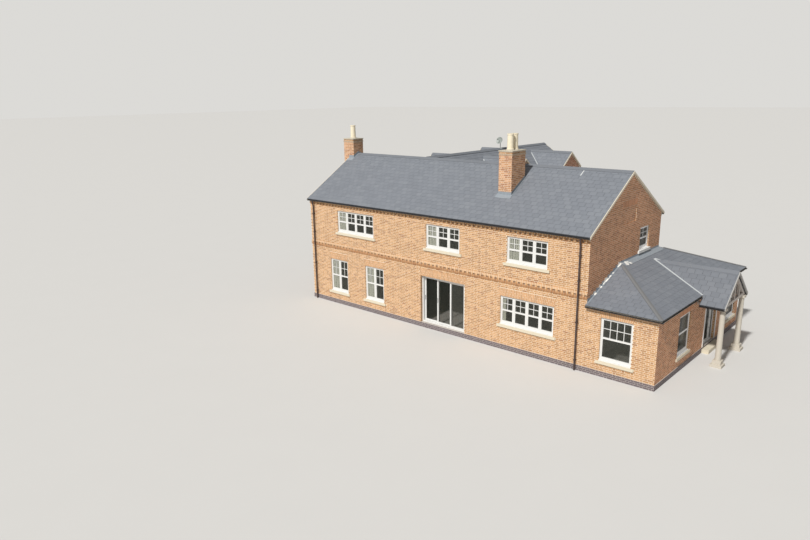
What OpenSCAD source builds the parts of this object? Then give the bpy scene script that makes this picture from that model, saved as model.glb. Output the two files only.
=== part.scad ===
/* [Main block] */
// Length of the main block, outside the brickwork
main_l = 15400; // [14000:10:19000]
// Depth of the main block, outside the brickwork
main_d = 6460; // [5400:10:7800]
// Thickness of the house walls
wall_t = 300; // [260:5:360]
// Height of the dark brick plinth and of the ground floor
plinth_h = 215; // [150:5:300]
// How far the plinth stands out from the walls
plinth_out = 20; // [10:1:30]
// Height of the wall's outer face at the eaves
eaves_z = 5130; // [5050:10:6200]
// Height of the first floor's surface
upper_floor_z = 2850; // [2750:10:2950]
// Thickness of the first floor
upper_floor_t = 240; // [200:5:300]
// Height of the toothed string course's top
course_z = 3085; // [3050:5:3300]

/* [Roofs] */
// Slope of the main roof
roof_pitch = 31; // [26:0.5:37]
// Thickness of the roofs, square to the slope
roof_t = 150; // [120:5:180]
// Thickness of the slates and battens alone, square to the slope
slate_t = 35; // [25:1:45]
// Overhang of the slates past a wall at the eaves
eaves_out = 160; // [130:5:180]
// How far the boxed rafter ends stand out under the slates
eaves_box = 75; // [65:1:90]
// Overhang of the slates past a gable
verge_out = 50; // [40:5:60]
// Width of one wing of the angled ridge tiles
ridge_tile_w = 170; // [130:5:220]
// Thickness of the ridge tiles
ridge_tile_t = 22; // [15:1:30]
// Radius of the half-round gutters
gutter_r = 56; // [50:1:62]
// Diameter of the downpipes
pipe_d = 68; // [60:1:76]

/* [Rear wing] */
// Width of the rear wing
wing_w = 6010; // [5000:10:7300]
// Length of the rear wing behind the main block
wing_l = 7990; // [7600:10:9600]
// Distance of the wing's centre from the main block's centre, to the left
wing_left = 2815; // [2400:5:3300]
// Width of the gablets over the wing's side walls
gablet_w = 2080; // [1800:10:2300]
// Slope of the gablet roofs
gablet_pitch = 37.5; // [34:0.5:41]
// Height of the ridge of the gablet roofs
gablet_ridge_z = 7000; // [6900:10:7200]
// Thickness of the gablet roofs, square to the slope
gablet_roof_t = 110; // [90:5:130]
// Distance of the first gablet's centre behind the main block
gablet_first = 1100; // [1080:10:1300]
// Distance between the two gablets on one side
gablet_step = 4750; // [4000:10:5000]

/* [Annex] */
// Width of the lean-to annex outside the main walls
annex_out = 2700; // [2250:10:3100]
// Slope of the annex roof
annex_pitch = 20; // [18:0.5:21]
// Height where the annex roof's slates meet the main walls
annex_top_z = 3710; // [3600:10:3780]
// Thickness of the annex roof, square to the slope
annex_roof_t = 130; // [100:5:140]
// Overhang of the annex slates at the eaves
annex_eaves_out = 150; // [130:5:180]

/* [Porch] */
// Distance of the porch's centre line behind the main block's centre
porch_y = 1650; // [1500:10:1700]
// Width of the porch roof between its slate edges
porch_w = 2810; // [2600:10:2900]
// Slope of the porch roof
porch_pitch = 39; // [37:0.5:41]
// Height of the porch ridge
porch_ridge_z = 3517; // [3480:1:3600]
// How far the porch roof reaches outside the annex wall
porch_out = 1068; // [900:10:1300]
// Thickness of the porch roof, square to the slope
porch_roof_t = 90; // [80:5:110]
// Diameter of the porch columns at the foot
column_d = 225; // [180:5:240]
// Section of the porch timbers
timber = 110; // [90:5:130]

/* [Chimneys] */
// Width of the left stack along the ridge
left_stack_w = 720; // [680:10:725]
// How far the left stack stands outside its gable wall
left_stack_out = 430; // [390:10:460]
// Depth of the left stack across the ridge
left_stack_d = 700; // [600:10:800]
// Height of the left stack
left_stack_top_z = 8015; // [7850:5:8400]
// Height of the middle stack
stack_top_z = 7950; // [7850:10:8400]
// Width of the middle stack along the ridge
middle_stack_w = 630; // [560:10:700]
// Depth of the middle stack up the slope
middle_stack_d = 1010; // [900:10:1100]
// Distance of the middle stack's centre to the right of the main block's centre
middle_stack_x = 3065; // [2700:5:3500]
// Distance of the middle stack's centre in front of the ridge
middle_stack_front = 1315; // [1250:5:1400]
// Height of the chimney pots
pot_h = 670; // [600:10:900]
// Outer diameter of the chimney pots
pot_d = 270; // [240:5:300]

/* [Windows] */
// Height of the upper windows' sills
upper_sill_z = 3700; // [3600:10:3760]
// Height of the upper windows
upper_win_h = 1080; // [900:10:1200]
// Height of the ground floor windows' sills
ground_sill_z = 620; // [500:10:650]
// Height of the ground floor windows
ground_win_h = 1670; // [1500:10:1700]
// Width of one light of a window
light_w = 615; // [510:5:640]
// Height of the wide kitchen window at the right of the front
kitchen_win_h = 1210; // [1000:10:1300]
// Face width of a window's fixed frame
frame_w = 45; // [35:1:60]
// Face width of a sash inside its frame
sash_w = 45; // [35:1:55]
// Face width of a window's mullion between its lights
mullion_w = 50; // [40:1:70]
// Share of a window's height that lies below its middle rail
transom_share = 0.5; // [0.45:0.01:0.56]
// Depth of a window or door frame
frame_d = 70; // [60:1:90]
// Distance of a window frame behind the wall's face
frame_back = 50; // [30:5:80]
// Thickness of the double glazing
glass_t = 24; // [20:1:28]
// Height of a stone sill
sill_h = 110; // [80:5:140]
// How far a stone sill stands out of the wall
sill_out = 60; // [40:5:80]
// How far a stone sill reaches past its window at each end
sill_past = 120; // [80:5:150]
// Height of the flat brick arches on the ground floor
arch_h = 330; // [215:5:345]
// How far a flat arch spreads past its opening at each end, at the top
arch_splay = 90; // [50:5:110]

/* [Doors] */
// Width of the garden doorway
patio_w = 2450; // [2200:10:2500]
// Height of the garden doorway above the floor
patio_h = 2185; // [2050:5:2200]
// Distance of the garden door frame behind the wall's face
patio_back = 130; // [90:5:135]
// Face width of the garden door frame
patio_frame_w = 60; // [50:1:70]
// Face width of the stiles of the garden door panels
stile_w = 75; // [60:1:90]
// Thickness of a garden door panel
panel_t = 40; // [34:1:44]
// Distance between the tracks of the garden doors
track_step = 50; // [50:1:54]
// Gap around the moving door panels
door_gap = 8; // [6:1:12]
// Width of the entrance doorway with its side light
entrance_w = 1310; // [1250:10:1400]
// Height of the entrance doorway above the floor
entrance_h = 2075; // [2000:5:2100]
// Distance of the entrance frame behind the wall's face
entrance_back = 90; // [60:5:120]
// Face width of the entrance frame
entrance_frame_w = 60; // [50:1:70]
// Width of the entrance door leaf
leaf_w = 860; // [800:5:900]
// Thickness of the entrance door leaf
leaf_t = 44; // [38:1:50]

/* [Hidden] */
$fn = 48;
far = 30000;
seat = 0.3;

// Main block, centred on the origin. Roofs lie one seat above the walls that carry them
half_l = main_l / 2;
half_d = main_d / 2;
tan_main = tan(roof_pitch);
apex_z = eaves_z + half_d * tan_main;
main_rise = roof_t / cos(roof_pitch);
main_skin = slate_t / cos(roof_pitch);
slope_eaves_z = eaves_z + seat;
slope_apex_z = apex_z + seat;
main_ridge_z = slope_apex_z + main_rise;
ridge_run = ridge_tile_w * cos(roof_pitch) + seat;

// Rear wing, whose ridge and eaves are level with the main block's
wing_x = -wing_left;
half_w = wing_w / 2;
wing_back = half_d + wing_l;
tan_wing = (apex_z - eaves_z) / half_w;
wing_pitch = atan(tan_wing);
wing_rise = roof_t / cos(wing_pitch);
wing_skin = slate_t / cos(wing_pitch);
wing_ridge_z = slope_apex_z + wing_rise;
gablet_half = gablet_w / 2;
tan_gablet = tan(gablet_pitch);
gablet_rise = gablet_roof_t / cos(gablet_pitch);
gablet_skin = slate_t / cos(gablet_pitch);
gablet_apex_z = gablet_ridge_z - gablet_rise;
gablet_eaves_z = gablet_apex_z - gablet_half * tan_gablet;
gablet_eaves_out = 90;
gablet_ys = [half_d + gablet_first, half_d + gablet_first + gablet_step];
cheek_t = 110;

// Annex round the right and rear walls
tan_annex = tan(annex_pitch);
annex_rise = annex_roof_t / cos(annex_pitch);
annex_skin = slate_t / cos(annex_pitch);
annex_reach = annex_out + annex_eaves_out;
annex_x = half_l + annex_out;
annex_y = half_d + annex_out;
annex_hip_y = -half_d + annex_out;
annex_under_z = annex_top_z - annex_rise - seat;
annex_wall_z = annex_under_z - annex_out * tan_annex;
annex_left = wing_x + half_w;

// Porch in front of the annex wall
tan_porch = tan(porch_pitch);
porch_rise = porch_roof_t / cos(porch_pitch);
porch_skin = slate_t / cos(porch_pitch);
porch_half = porch_w / 2;
porch_box = porch_half - 85;
porch_verge = 20;
porch_apex_z = porch_ridge_z - porch_rise;
porch_end = annex_x + porch_out;
porch_in = half_l + (annex_top_z - porch_ridge_z) / tan_annex;
porch_valley = (annex_reach * tan_annex + porch_ridge_z - annex_top_z) / tan_porch;
column_in = 255;
column_x = porch_end - 120;
column_ys = [porch_y - porch_half + column_in, porch_y + porch_half - column_in];
truss_apex_z = porch_apex_z - seat;
plate_top_z = truss_apex_z - (porch_half - column_in + timber / 2) * tan_porch;

// Lead against the walls, round the stacks and in the valleys
lead_t = 8;
lead_h = 75;
lead_w = 150;
lead_sheet = 5;
stack_lead = 60;
stack_lead_h = 120;
side_lead_w = 60;

// Chimney pots' flanges and their mortar, and the dish's place behind the main block's centre
pot_flange = 15;
pot_gap = 34;
dish_y = 6530;

// Gutters and downpipes
gutter_t = 4;
gutter_drop = 12;
gutter_front = eaves_box + 2 * gutter_r;
main_gutter_z = slope_eaves_z - eaves_out * tan_main + main_rise - main_skin - gutter_drop;
wing_gutter_z = slope_eaves_z - eaves_out * tan_wing + wing_rise - wing_skin - gutter_drop;
annex_gutter_z = annex_top_z - annex_reach * tan_annex - annex_skin - gutter_drop;
porch_gutter_z = porch_ridge_z - porch_half * tan_porch - porch_skin - gutter_drop;
wing_gutter_runs = [[gablet_ys[0] + gablet_half + 20, gablet_ys[1] - gablet_half - 20],
    [gablet_ys[1] + gablet_half + 20, wing_back + verge_out]];
annex_gutter_end = (porch_ridge_z - annex_gutter_z + gutter_r + 10) / tan_porch;
pipe_out = 50 + pipe_d / 2;
pipe_xs = [-half_l + 300, half_l - 340];
clip_zs = [400, 1900, 3500, 4450];

// Bands of brick that stand out from the walls
band_h = 75;
course_out = 30;
dentil_out = 40;

// Windows as [left edge, sill height, lights, height], from the left of each wall seen from outside,
// with a width and a share below the middle rail where they are not the usual ones
nosing_h = 35;
nosing_out = 15;
sash_step = 8;
rail_low = 75;
rail_mid = 70;
win2 = 2 * light_w;
kitchen_sill_z = ground_sill_z + ground_win_h - kitchen_win_h;
high_sill_z = annex_top_z + lead_h + sill_h;
high_win_h = 955;
front_upper = [[1990, upper_sill_z, 4, upper_win_h], [7660, upper_sill_z, 3, upper_win_h],
    [11850, upper_sill_z, 3, upper_win_h]];
front_ground = [[1370, ground_sill_z, 2, ground_win_h], [3820, ground_sill_z, 2, ground_win_h],
    [11600, kitchen_sill_z, 4, kitchen_win_h]];
patio_left = 7340;
patio_x = patio_left - half_l;
patio_top_z = plinth_h + patio_h;
gable_win = [1150 + half_d, high_sill_z, 1, high_win_h, 1.48 * light_w];
rear_left_w = wing_x - half_w + half_l - 650;
rear_left_at = half_l - (wing_x - half_w - half_l + rear_left_w) / 2;
rear_left_upper = [rear_left_at, upper_sill_z, 2, upper_win_h, rear_left_w];
rear_left_ground = [rear_left_at, ground_sill_z, 2, ground_win_h, rear_left_w];
rear_right_wins = [[1500, high_sill_z, 2, high_win_h], [4700, high_sill_z, 2, high_win_h]];
annex_front_win = [580, ground_sill_z, 1, ground_win_h, win2, 0.53];
annex_side_wins = [for (y = [-1230, 4320]) [half_d + y, ground_sill_z, 1, ground_win_h - 80, 1.87 * light_w, 0.54]];
annex_rear_wins = [[1000, kitchen_sill_z, 2, kitchen_win_h], [4200, kitchen_sill_z, 3, kitchen_win_h],
    [7600, kitchen_sill_z, 2, kitchen_win_h]];
wing_right_upper = [for (y = gablet_ys) [y - half_d - light_w, upper_sill_z, 2, upper_win_h]];
wing_right_ground = [gablet_ys[1] - half_d - light_w, ground_sill_z, 2, ground_win_h];
wing_left_upper = [for (y = gablet_ys) [wing_back - y - light_w, upper_sill_z, 2, upper_win_h]];
wing_left_ground = [for (w = wing_left_upper) [w[0], ground_sill_z, 2, ground_win_h]];
wing_rear_xs = [900, wing_w - 900 - win2];
wing_rear_upper = [for (x = wing_rear_xs) [x, upper_sill_z, 2, upper_win_h]];
wing_rear_ground = [for (x = wing_rear_xs) [x, ground_sill_z, 2, ground_win_h]];
low_arch_h = 225;
arch_t = 103;

// Bricked-up panel high on the right gable
panel_half = 630;
panel_z = 5230;
panel_h = 680;
panel_deep = 30;

// Garden doors: three tracks, shoes on rails and a pull on each moving panel
track_d = 3 * track_step;
patio_in = patio_w - 2 * patio_frame_w;
panel_w = (patio_in - 2 * door_gap + 2 * stile_w) / 3;
pull_t = 4;
pull_w = 24;
pull_z = 950;
pull_h = 220;
rail_w = 12;
rail_h = 3;
shoe_w = 16;
shoe_l = 90;
shoe_in = 80;

// Entrance door: sill, lever handle and hinges, whose pins stand inside the leaf's face
entrance_y = porch_y - 40;
entrance_sill = 30;
leaf_stile = 100;
lever_z = 990;
hinge_pin_r = 6;
hinge_r = 11;
hinge_h = 100;
hinge_end = 25;
hinge_fold = 4;
hinge_x = entrance_frame_w + door_gap / 2;
hinge_y = frame_d + hinge_r;
hinge_zs = [250, 1020, 1800];

// Upright prism over a plan outline, from z0 to z1
module prism(points, z0, z1) {
    translate([0, 0, z0]) linear_extrude(z1 - z0) polygon(points);
}

// Solid of a section drawn in Y and Z, from x0 to x1
module along_x(points, x0, x1) {
    translate([x0, 0, 0]) rotate([90, 0, 90]) linear_extrude(x1 - x0) polygon(points);
}

// Solid of a section drawn in X and Z, from y0 to y1
module along_y(points, y0, y1) {
    translate([0, y1, 0]) rotate([90, 0, 0]) linear_extrude(y1 - y0) polygon(points);
}

module block(x0, x1, y0, y1, z0, z1) {
    translate([x0, y0, z0]) cube([x1 - x0, y1 - y0, z1 - z0]);
}

// Section of one slope, ridge at 0 and eaves at -reach: the rafters' layer and the slates
function slope_core(reach, apex, slope, rise, skin) =
    [[-reach, apex - reach * slope], [0, apex], [0, apex + rise - skin / 2],
        [-reach, apex - reach * slope + rise - skin / 2]];
function slope_slates(reach, apex, slope, rise, skin) =
    [[-reach, apex - reach * slope + rise - skin], [0, apex + rise - skin], [0, apex + rise],
        [-reach, apex - reach * slope + rise]];

// Section of both slopes between two heights above the ridge, for what lies on or under the slates
function chevron(reach, apex, slope, z0, z1) =
    [[-reach, apex - reach * slope + z0], [0, apex + z0], [reach, apex - reach * slope + z0],
        [reach, apex - reach * slope + z1], [0, apex + z1], [-reach, apex - reach * slope + z1]];

// Place children, drawn with X along the wall, Y inwards and Z up, on each side of the house
module on_front() { translate([-half_l, -half_d, 0]) children(); }
module on_right_gable() { translate([half_l, -half_d, 0]) rotate([0, 0, 90]) children(); }
module on_rear() { translate([half_l, half_d, 0]) rotate([0, 0, 180]) children(); }
module on_annex_front() { translate([half_l, -half_d, 0]) children(); }
module on_annex_side() { translate([annex_x, -half_d, 0]) rotate([0, 0, 90]) children(); }
module on_annex_rear() { translate([annex_x, annex_y, 0]) rotate([0, 0, 180]) children(); }
module on_wing_right() { translate([annex_left, half_d, 0]) rotate([0, 0, 90]) children(); }
module on_wing_left() { translate([wing_x - half_w, wing_back, 0]) rotate([0, 0, -90]) children(); }
module on_wing_rear() { translate([annex_left, wing_back, 0]) rotate([0, 0, 180]) children(); }

function win_w(w) = is_undef(w[4]) ? w[2] * light_w : w[4];
function mid_h(w) = w[3] * (is_undef(w[5]) ? transom_share : w[5]);

// Hole for one window through a wall
module hole(w) {
    translate([w[0], -50, w[1]]) cube([win_w(w), wall_t + 100, w[3]]);
}

// Outline of a flat arch over an opening, spreading towards its top
function arch_points(x0, x1, z, h, gap) = [[x0 + gap, z], [x1 - gap, z],
    [x1 + arch_splay - gap, z + h], [x0 - arch_splay + gap, z + h]];

module arch_hole(w, h) {
    along_y(arch_points(w[0], w[0] + win_w(w), w[1] + w[3], h, 0), -1, arch_t);
}

module arch(w, h) {
    along_y(arch_points(w[0], w[0] + win_w(w), w[1] + w[3], h, seat), 0, arch_t);
}

// Panes of a window as [left, bottom, width, height], two to a light
function light_pitch(w) = (win_w(w) - 2 * frame_w + mullion_w) / w[2];
function panes(w) = [for (i = [0 : w[2] - 1]) for (low = [true, false])
    [frame_w + i * light_pitch(w) + sash_w,
        low ? nosing_h + frame_w + rail_low : mid_h(w) + rail_mid / 2,
        light_pitch(w) - mullion_w - 2 * sash_w,
        low ? mid_h(w) - rail_mid / 2 - nosing_h - frame_w - rail_low
            : w[3] - mid_h(w) - rail_mid / 2 - frame_w - sash_w]];

// White frame with its nosing, the sashes a little behind its face, and the holes for the panes
module window(w) {
    translate([w[0], 0, w[1]]) difference() {
        union() {
            translate([0, frame_back, 0]) cube([win_w(w), frame_d, w[3]]);
            translate([0, -nosing_out, 0]) cube([win_w(w), frame_back + nosing_out + 10, nosing_h]);
        }
        for (i = [0 : w[2] - 1]) translate([frame_w + i * light_pitch(w), frame_back - 1, nosing_h + frame_w])
            cube([light_pitch(w) - mullion_w, sash_step + 1, w[3] - nosing_h - 2 * frame_w]);
        for (p = panes(w)) translate([p[0], frame_back - 1, p[1]]) cube([p[2], frame_d + 2, p[3]]);
    }
}

module glass(w) {
    translate([w[0], frame_back + (frame_d - glass_t) / 2, w[1]])
        for (p = panes(w)) translate([p[0], 0, p[1]]) cube([p[2], glass_t, p[3]]);
}

module sill(w) {
    translate([w[0] - sill_past, -sill_out, w[1] - sill_h])
        cube([win_w(w) + 2 * sill_past, sill_out, sill_h]);
}

module plan_main(out) {
    translate([-half_l - out, -half_d - out]) square([main_l + 2 * out, main_d + 2 * out]);
}
module plan_wing(out) {
    translate([wing_x - half_w - out, 0]) square([wing_w + 2 * out, wing_back + out]);
}
module plan_annex(out) {
    translate([0, -half_d - out]) square([annex_x + out, annex_y + half_d + 2 * out]);
}

// Dark brick plinth under all outer walls
module plinth() {
    color("#4c4a55") linear_extrude(plinth_h) difference() {
        union() {
            plan_main(plinth_out);
            plan_wing(plinth_out);
            plan_annex(plinth_out);
        }
        plan_main(-wall_t);
        intersection() {
            plan_wing(-wall_t);
            translate([-far, half_d]) square([2 * far, far]);
        }
        translate([half_l, -half_d + wall_t])
            square([annex_out - wall_t, annex_y + half_d - 2 * wall_t]);
        translate([annex_left, half_d]) square([annex_x - wall_t - annex_left, annex_out - wall_t]);
    }
}

// Solid ground floors inside the plinth
module ground_floor() {
    color("#b9b2a6") {
        block(-half_l + wall_t, half_l - wall_t, -half_d + wall_t, half_d - wall_t, 0, plinth_h);
        block(wing_x - half_w + wall_t, wing_x + half_w - wall_t, half_d, wing_back - wall_t, 0, plinth_h);
        block(half_l, annex_x - wall_t, -half_d + wall_t, annex_y - wall_t, 0, plinth_h);
        block(annex_left, half_l - seat, half_d, annex_y - wall_t, 0, plinth_h);
    }
}

module upper_floor() {
    color("#b99f78") {
        block(-half_l + wall_t, half_l - wall_t, -half_d + wall_t, half_d - wall_t,
            upper_floor_z - upper_floor_t, upper_floor_z);
        block(wing_x - half_w + wall_t, wing_x + half_w - wall_t, half_d, wing_back - wall_t,
            upper_floor_z - upper_floor_t, upper_floor_z);
    }
}

// Section of a wall under the main roof's eaves, outer face at Y = -half_d
main_wall_section = [[-half_d, plinth_h], [-half_d + wall_t, plinth_h],
    [-half_d + wall_t, eaves_z + wall_t * tan_main], [-half_d, eaves_z]];
patio_opening = [patio_left, plinth_h, 1, patio_h, patio_w];

// Front wall with its windows and arches cut out, before it is split round the garden doorway
module front_wall_all() {
    difference() {
        along_x(main_wall_section, -half_l, half_l);
        on_front() {
            for (w = front_upper) hole(w);
            for (w = front_ground) {
                hole(w);
                arch_hole(w, arch_h);
            }
            arch_hole(patio_opening, arch_h);
        }
    }
}

module front_wall_left() {
    color("#c98f5f") intersection() {
        front_wall_all();
        block(-far, patio_x, -far, 0, 0, far);
    }
}

module front_wall_right() {
    color("#c98f5f") intersection() {
        front_wall_all();
        block(patio_x + patio_w, far, -far, 0, 0, far);
    }
}

module front_wall_over_doors() {
    color("#c98f5f") intersection() {
        front_wall_all();
        block(patio_x, patio_x + patio_w, -far, 0, patio_top_z, far);
    }
}

// Outline of a gable wall that runs up to the slates and out under their eaves as a kneeler
gable_section = [[-half_d + wall_t, plinth_h], [half_d - wall_t, plinth_h],
    [half_d - wall_t, slope_eaves_z + wall_t * tan_main],
    [half_d + eaves_box, slope_eaves_z - eaves_box * tan_main],
    [half_d + eaves_box, slope_eaves_z - eaves_box * tan_main + main_rise - main_skin - seat],
    [0, main_ridge_z - main_skin - seat],
    [-half_d - eaves_box, slope_eaves_z - eaves_box * tan_main + main_rise - main_skin - seat],
    [-half_d - eaves_box, slope_eaves_z - eaves_box * tan_main],
    [-half_d + wall_t, slope_eaves_z + wall_t * tan_main]];

module left_gable_wall() {
    color("#a3603f") along_x(gable_section, -half_l, -half_l + wall_t);
}

module right_gable_wall() {
    color("#a3603f") difference() {
        along_x(gable_section, half_l - wall_t, half_l);
        on_right_gable() {
            hole(gable_win);
            translate([half_d - panel_half, -1, panel_z]) cube([2 * panel_half, panel_deep + 1, panel_h]);
            along_y(panel_arch(0), -1, arch_t);
        }
    }
}
function panel_arch(gap) =
    arch_points(half_d - panel_half, half_d + panel_half, panel_z + panel_h, low_arch_h, gap);

module rear_wall() {
    color("#b0714a") difference() {
        mirror([0, 1, 0]) along_x(main_wall_section, -half_l, half_l);
        on_rear() {
            for (w = rear_right_wins) hole(w);
            hole(rear_left_upper);
            hole(rear_left_ground);
            arch_hole(rear_left_ground, arch_h);
        }
    }
}

// Side wall of the wing with the fronts of its gablets, drawn for the right side
module wing_side_wall() {
    front_low_z = gablet_eaves_z + gablet_rise - gablet_skin;
    along_y([[half_w, plinth_h], [half_w, eaves_z], [half_w - wall_t, eaves_z + wall_t * tan_wing],
        [half_w - wall_t, plinth_h]], half_d, wing_back - wall_t);
    for (y = gablet_ys)
        along_x([[y - gablet_half, eaves_z - 500], [y + gablet_half, eaves_z - 500],
            [y + gablet_half, front_low_z], [y, gablet_ridge_z - gablet_skin],
            [y - gablet_half, front_low_z]], half_w - wall_t, half_w);
}

module wing_right_wall() {
    color("#b0714a") difference() {
        translate([wing_x, 0, 0]) wing_side_wall();
        on_wing_right() {
            for (w = wing_right_upper) hole(w);
            hole(wing_right_ground);
            arch_hole(wing_right_ground, arch_h);
        }
    }
}

module wing_left_wall() {
    color("#b0714a") difference() {
        translate([wing_x, 0, 0]) mirror([1, 0, 0]) wing_side_wall();
        on_wing_left() {
            for (w = wing_left_upper) hole(w);
            for (w = wing_left_ground) {
                hole(w);
                arch_hole(w, arch_h);
            }
        }
    }
}

module wing_rear_wall() {
    box_z = slope_eaves_z - eaves_box * tan_wing;
    color("#b0714a") difference() {
        translate([wing_x, 0, 0]) along_y([[-half_w, plinth_h], [half_w, plinth_h],
            [half_w, slope_eaves_z], [half_w + eaves_box, box_z],
            [half_w + eaves_box, box_z + wing_rise - wing_skin - seat],
            [0, wing_ridge_z - wing_skin - seat],
            [-half_w - eaves_box, box_z + wing_rise - wing_skin - seat],
            [-half_w - eaves_box, box_z], [-half_w, slope_eaves_z]], wing_back - wall_t, wing_back);
        on_wing_rear() {
            for (w = wing_rear_upper) hole(w);
            for (w = wing_rear_ground) {
                hole(w);
                arch_hole(w, arch_h);
            }
        }
    }
}

// Side walls of the gablets between their roofs and the wing's roof
module gablet_cheeks() {
    end_x = half_w - (gablet_eaves_z - eaves_z) / tan_wing;
    outer_x = half_w - wall_t;
    color("#b0714a") translate([wing_x, 0, 0]) for (side = [0, 1]) mirror([side, 0, 0])
        for (y = gablet_ys) for (s = [-1, 1])
            intersection() {
                along_y([[outer_x, eaves_z + wall_t * tan_wing], [outer_x, gablet_apex_z],
                    [end_x, gablet_apex_z], [end_x, gablet_eaves_z]],
                    s < 0 ? y - gablet_half : y + gablet_half - cheek_t,
                    s < 0 ? y - gablet_half + cheek_t : y + gablet_half);
                along_x([[y - gablet_half, 0], [y + gablet_half, 0], [y + gablet_half, gablet_eaves_z],
                    [y, gablet_apex_z], [y - gablet_half, gablet_eaves_z]], -1, far);
            }
}

// Section of an annex wall, outer face at 0, inside at -wall_t
annex_wall_section = [[0, plinth_h], [0, annex_wall_z],
    [-wall_t, annex_wall_z + wall_t * tan_annex], [-wall_t, plinth_h]];

// Space under the annex roof, used to trim the walls to it
module annex_roof_space() {
    intersection() {
        along_y([[-far, 0], [annex_x, 0], [annex_x, annex_wall_z],
            [half_l, annex_under_z], [-far, annex_under_z]], -far, far);
        along_x([[-half_d, 0], [annex_y, 0], [annex_y, annex_wall_z],
            [half_d, annex_under_z], [annex_hip_y, annex_under_z],
            [-half_d, annex_wall_z]], -far, far);
    }
}

module annex_front_wall() {
    color("#c98f5f") difference() {
        intersection() {
            translate([0, -half_d, 0]) mirror([0, 1, 0])
                along_x(annex_wall_section, half_l, annex_x);
            annex_roof_space();
        }
        on_annex_front() {
            hole(annex_front_win);
            arch_hole(annex_front_win, low_arch_h);
        }
    }
}

module annex_side_all() {
    difference() {
        intersection() {
            translate([annex_x, 0, 0])
                along_y(annex_wall_section, -half_d + wall_t, annex_y - wall_t);
            annex_roof_space();
        }
        on_annex_side() for (w = annex_side_wins) {
            hole(w);
            arch_hole(w, low_arch_h);
        }
    }
}

module annex_side_wall() {
    color("#a3603f") intersection() {
        annex_side_all();
        block(0, far, -far, entrance_y, 0, far);
    }
}

module annex_side_wall_back() {
    color("#a3603f") intersection() {
        annex_side_all();
        block(0, far, entrance_y + entrance_w, far, 0, far);
    }
}

module annex_wall_over_door() {
    color("#a3603f") intersection() {
        annex_side_all();
        block(0, far, entrance_y, entrance_y + entrance_w, plinth_h + entrance_h, far);
    }
}

module annex_rear_wall() {
    color("#b0714a") difference() {
        intersection() {
            translate([0, annex_y, 0]) along_x(annex_wall_section, annex_left, annex_x);
            annex_roof_space();
        }
        on_annex_rear() for (w = annex_rear_wins) {
            hole(w);
            arch_hole(w, low_arch_h);
        }
    }
}

// Flat arches of upright bricks over the ground floor openings and the gable's panel
module flat_arches() {
    on_front() {
        for (w = front_ground) arch(w, arch_h);
        arch(patio_opening, arch_h);
    }
    on_right_gable() along_y(panel_arch(seat), 0, arch_t);
    on_annex_front() arch(annex_front_win, low_arch_h);
    on_annex_side() for (w = annex_side_wins) arch(w, low_arch_h);
    on_annex_rear() for (w = annex_rear_wins) arch(w, low_arch_h);
    on_rear() arch(rear_left_ground, arch_h);
    on_wing_right() arch(wing_right_ground, arch_h);
    on_wing_left() for (w = wing_left_ground) arch(w, arch_h);
    on_wing_rear() for (w = wing_rear_ground) arch(w, arch_h);
}

// Band with teeth below it, along X at the front wall's face
module toothed_band(x0, x1, top_z, out) {
    tooth = 110;
    count = floor((x1 - x0 - tooth) / (2 * tooth));
    translate([0, -half_d - out, 0]) {
        translate([x0, 0, top_z - band_h]) cube([x1 - x0, out, band_h]);
        for (i = [0 : count])
            translate([x0 + i * 2 * tooth, 0, top_z - 2 * band_h]) cube([tooth, out, band_h]);
    }
}

// Flat arches, the string course with its lower band, and the toothed courses under the eaves
module brick_courses() {
    eaves_band_z = eaves_z - dentil_out * tan_main;
    color("#c08757") {
        flat_arches();
        toothed_band(-half_l, half_l, course_z, course_out);
        translate([-half_l, -half_d - course_out, course_z - 3 * band_h])
            cube([main_l, course_out, band_h]);
        toothed_band(-half_l, half_l, eaves_band_z, dentil_out);
        mirror([0, 1, 0]) {
            toothed_band(-half_l, wing_x - half_w, eaves_band_z, dentil_out);
            toothed_band(annex_left, half_l, eaves_band_z, dentil_out);
        }
    }
}

// Window sills and the entrance step
module stone_sills() {
    step_out = 300;
    step_past = 100;
    step_h = 150;
    color("#cfc5b0") {
        on_front() {
            for (w = front_upper) sill(w);
            for (w = front_ground) sill(w);
        }
        on_annex_front() sill(annex_front_win);
        on_right_gable() sill(gable_win);
        on_annex_side() for (w = annex_side_wins) sill(w);
        on_rear() {
            for (w = rear_right_wins) sill(w);
            sill(rear_left_upper);
            sill(rear_left_ground);
        }
        on_annex_rear() for (w = annex_rear_wins) sill(w);
        on_wing_right() {
            for (w = wing_right_upper) sill(w);
            sill(wing_right_ground);
        }
        on_wing_left() {
            for (w = wing_left_upper) sill(w);
            for (w = wing_left_ground) sill(w);
        }
        on_wing_rear() {
            for (w = wing_rear_upper) sill(w);
            for (w = wing_rear_ground) sill(w);
        }
        block(annex_x + plinth_out, annex_x + step_out, entrance_y - step_past,
            entrance_y + entrance_w + step_past, 0, step_h);
    }
}

// Everything below the main roof's slates, with a seat over them
main_below = [[-half_d - eaves_out, 0], [half_d + eaves_out, 0],
    [half_d + eaves_out, slope_eaves_z - eaves_out * tan_main + main_rise + seat],
    [0, main_ridge_z + seat],
    [-half_d - eaves_out, slope_eaves_z - eaves_out * tan_main + main_rise + seat]];

// Front slope: rafters between the gables, slates on over them
module main_slope() {
    along_x(slope_core(half_d + eaves_box, slope_apex_z, tan_main, main_rise, main_skin),
        -half_l + wall_t, half_l - wall_t);
    along_x(slope_slates(half_d + eaves_out, slope_apex_z, tan_main, main_rise, main_skin),
        -half_l - verge_out, half_l + verge_out);
}

module middle_stack_box(z0, z1) {
    block(middle_stack_x - middle_stack_w / 2, middle_stack_x + middle_stack_w / 2,
        -middle_stack_front - middle_stack_d / 2, -middle_stack_front + middle_stack_d / 2, z0, z1);
}

module left_stack_box(z0, z1) {
    block(-half_l - left_stack_out, -half_l - left_stack_out + left_stack_w,
        -left_stack_d / 2, left_stack_d / 2, z0, z1);
}

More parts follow.
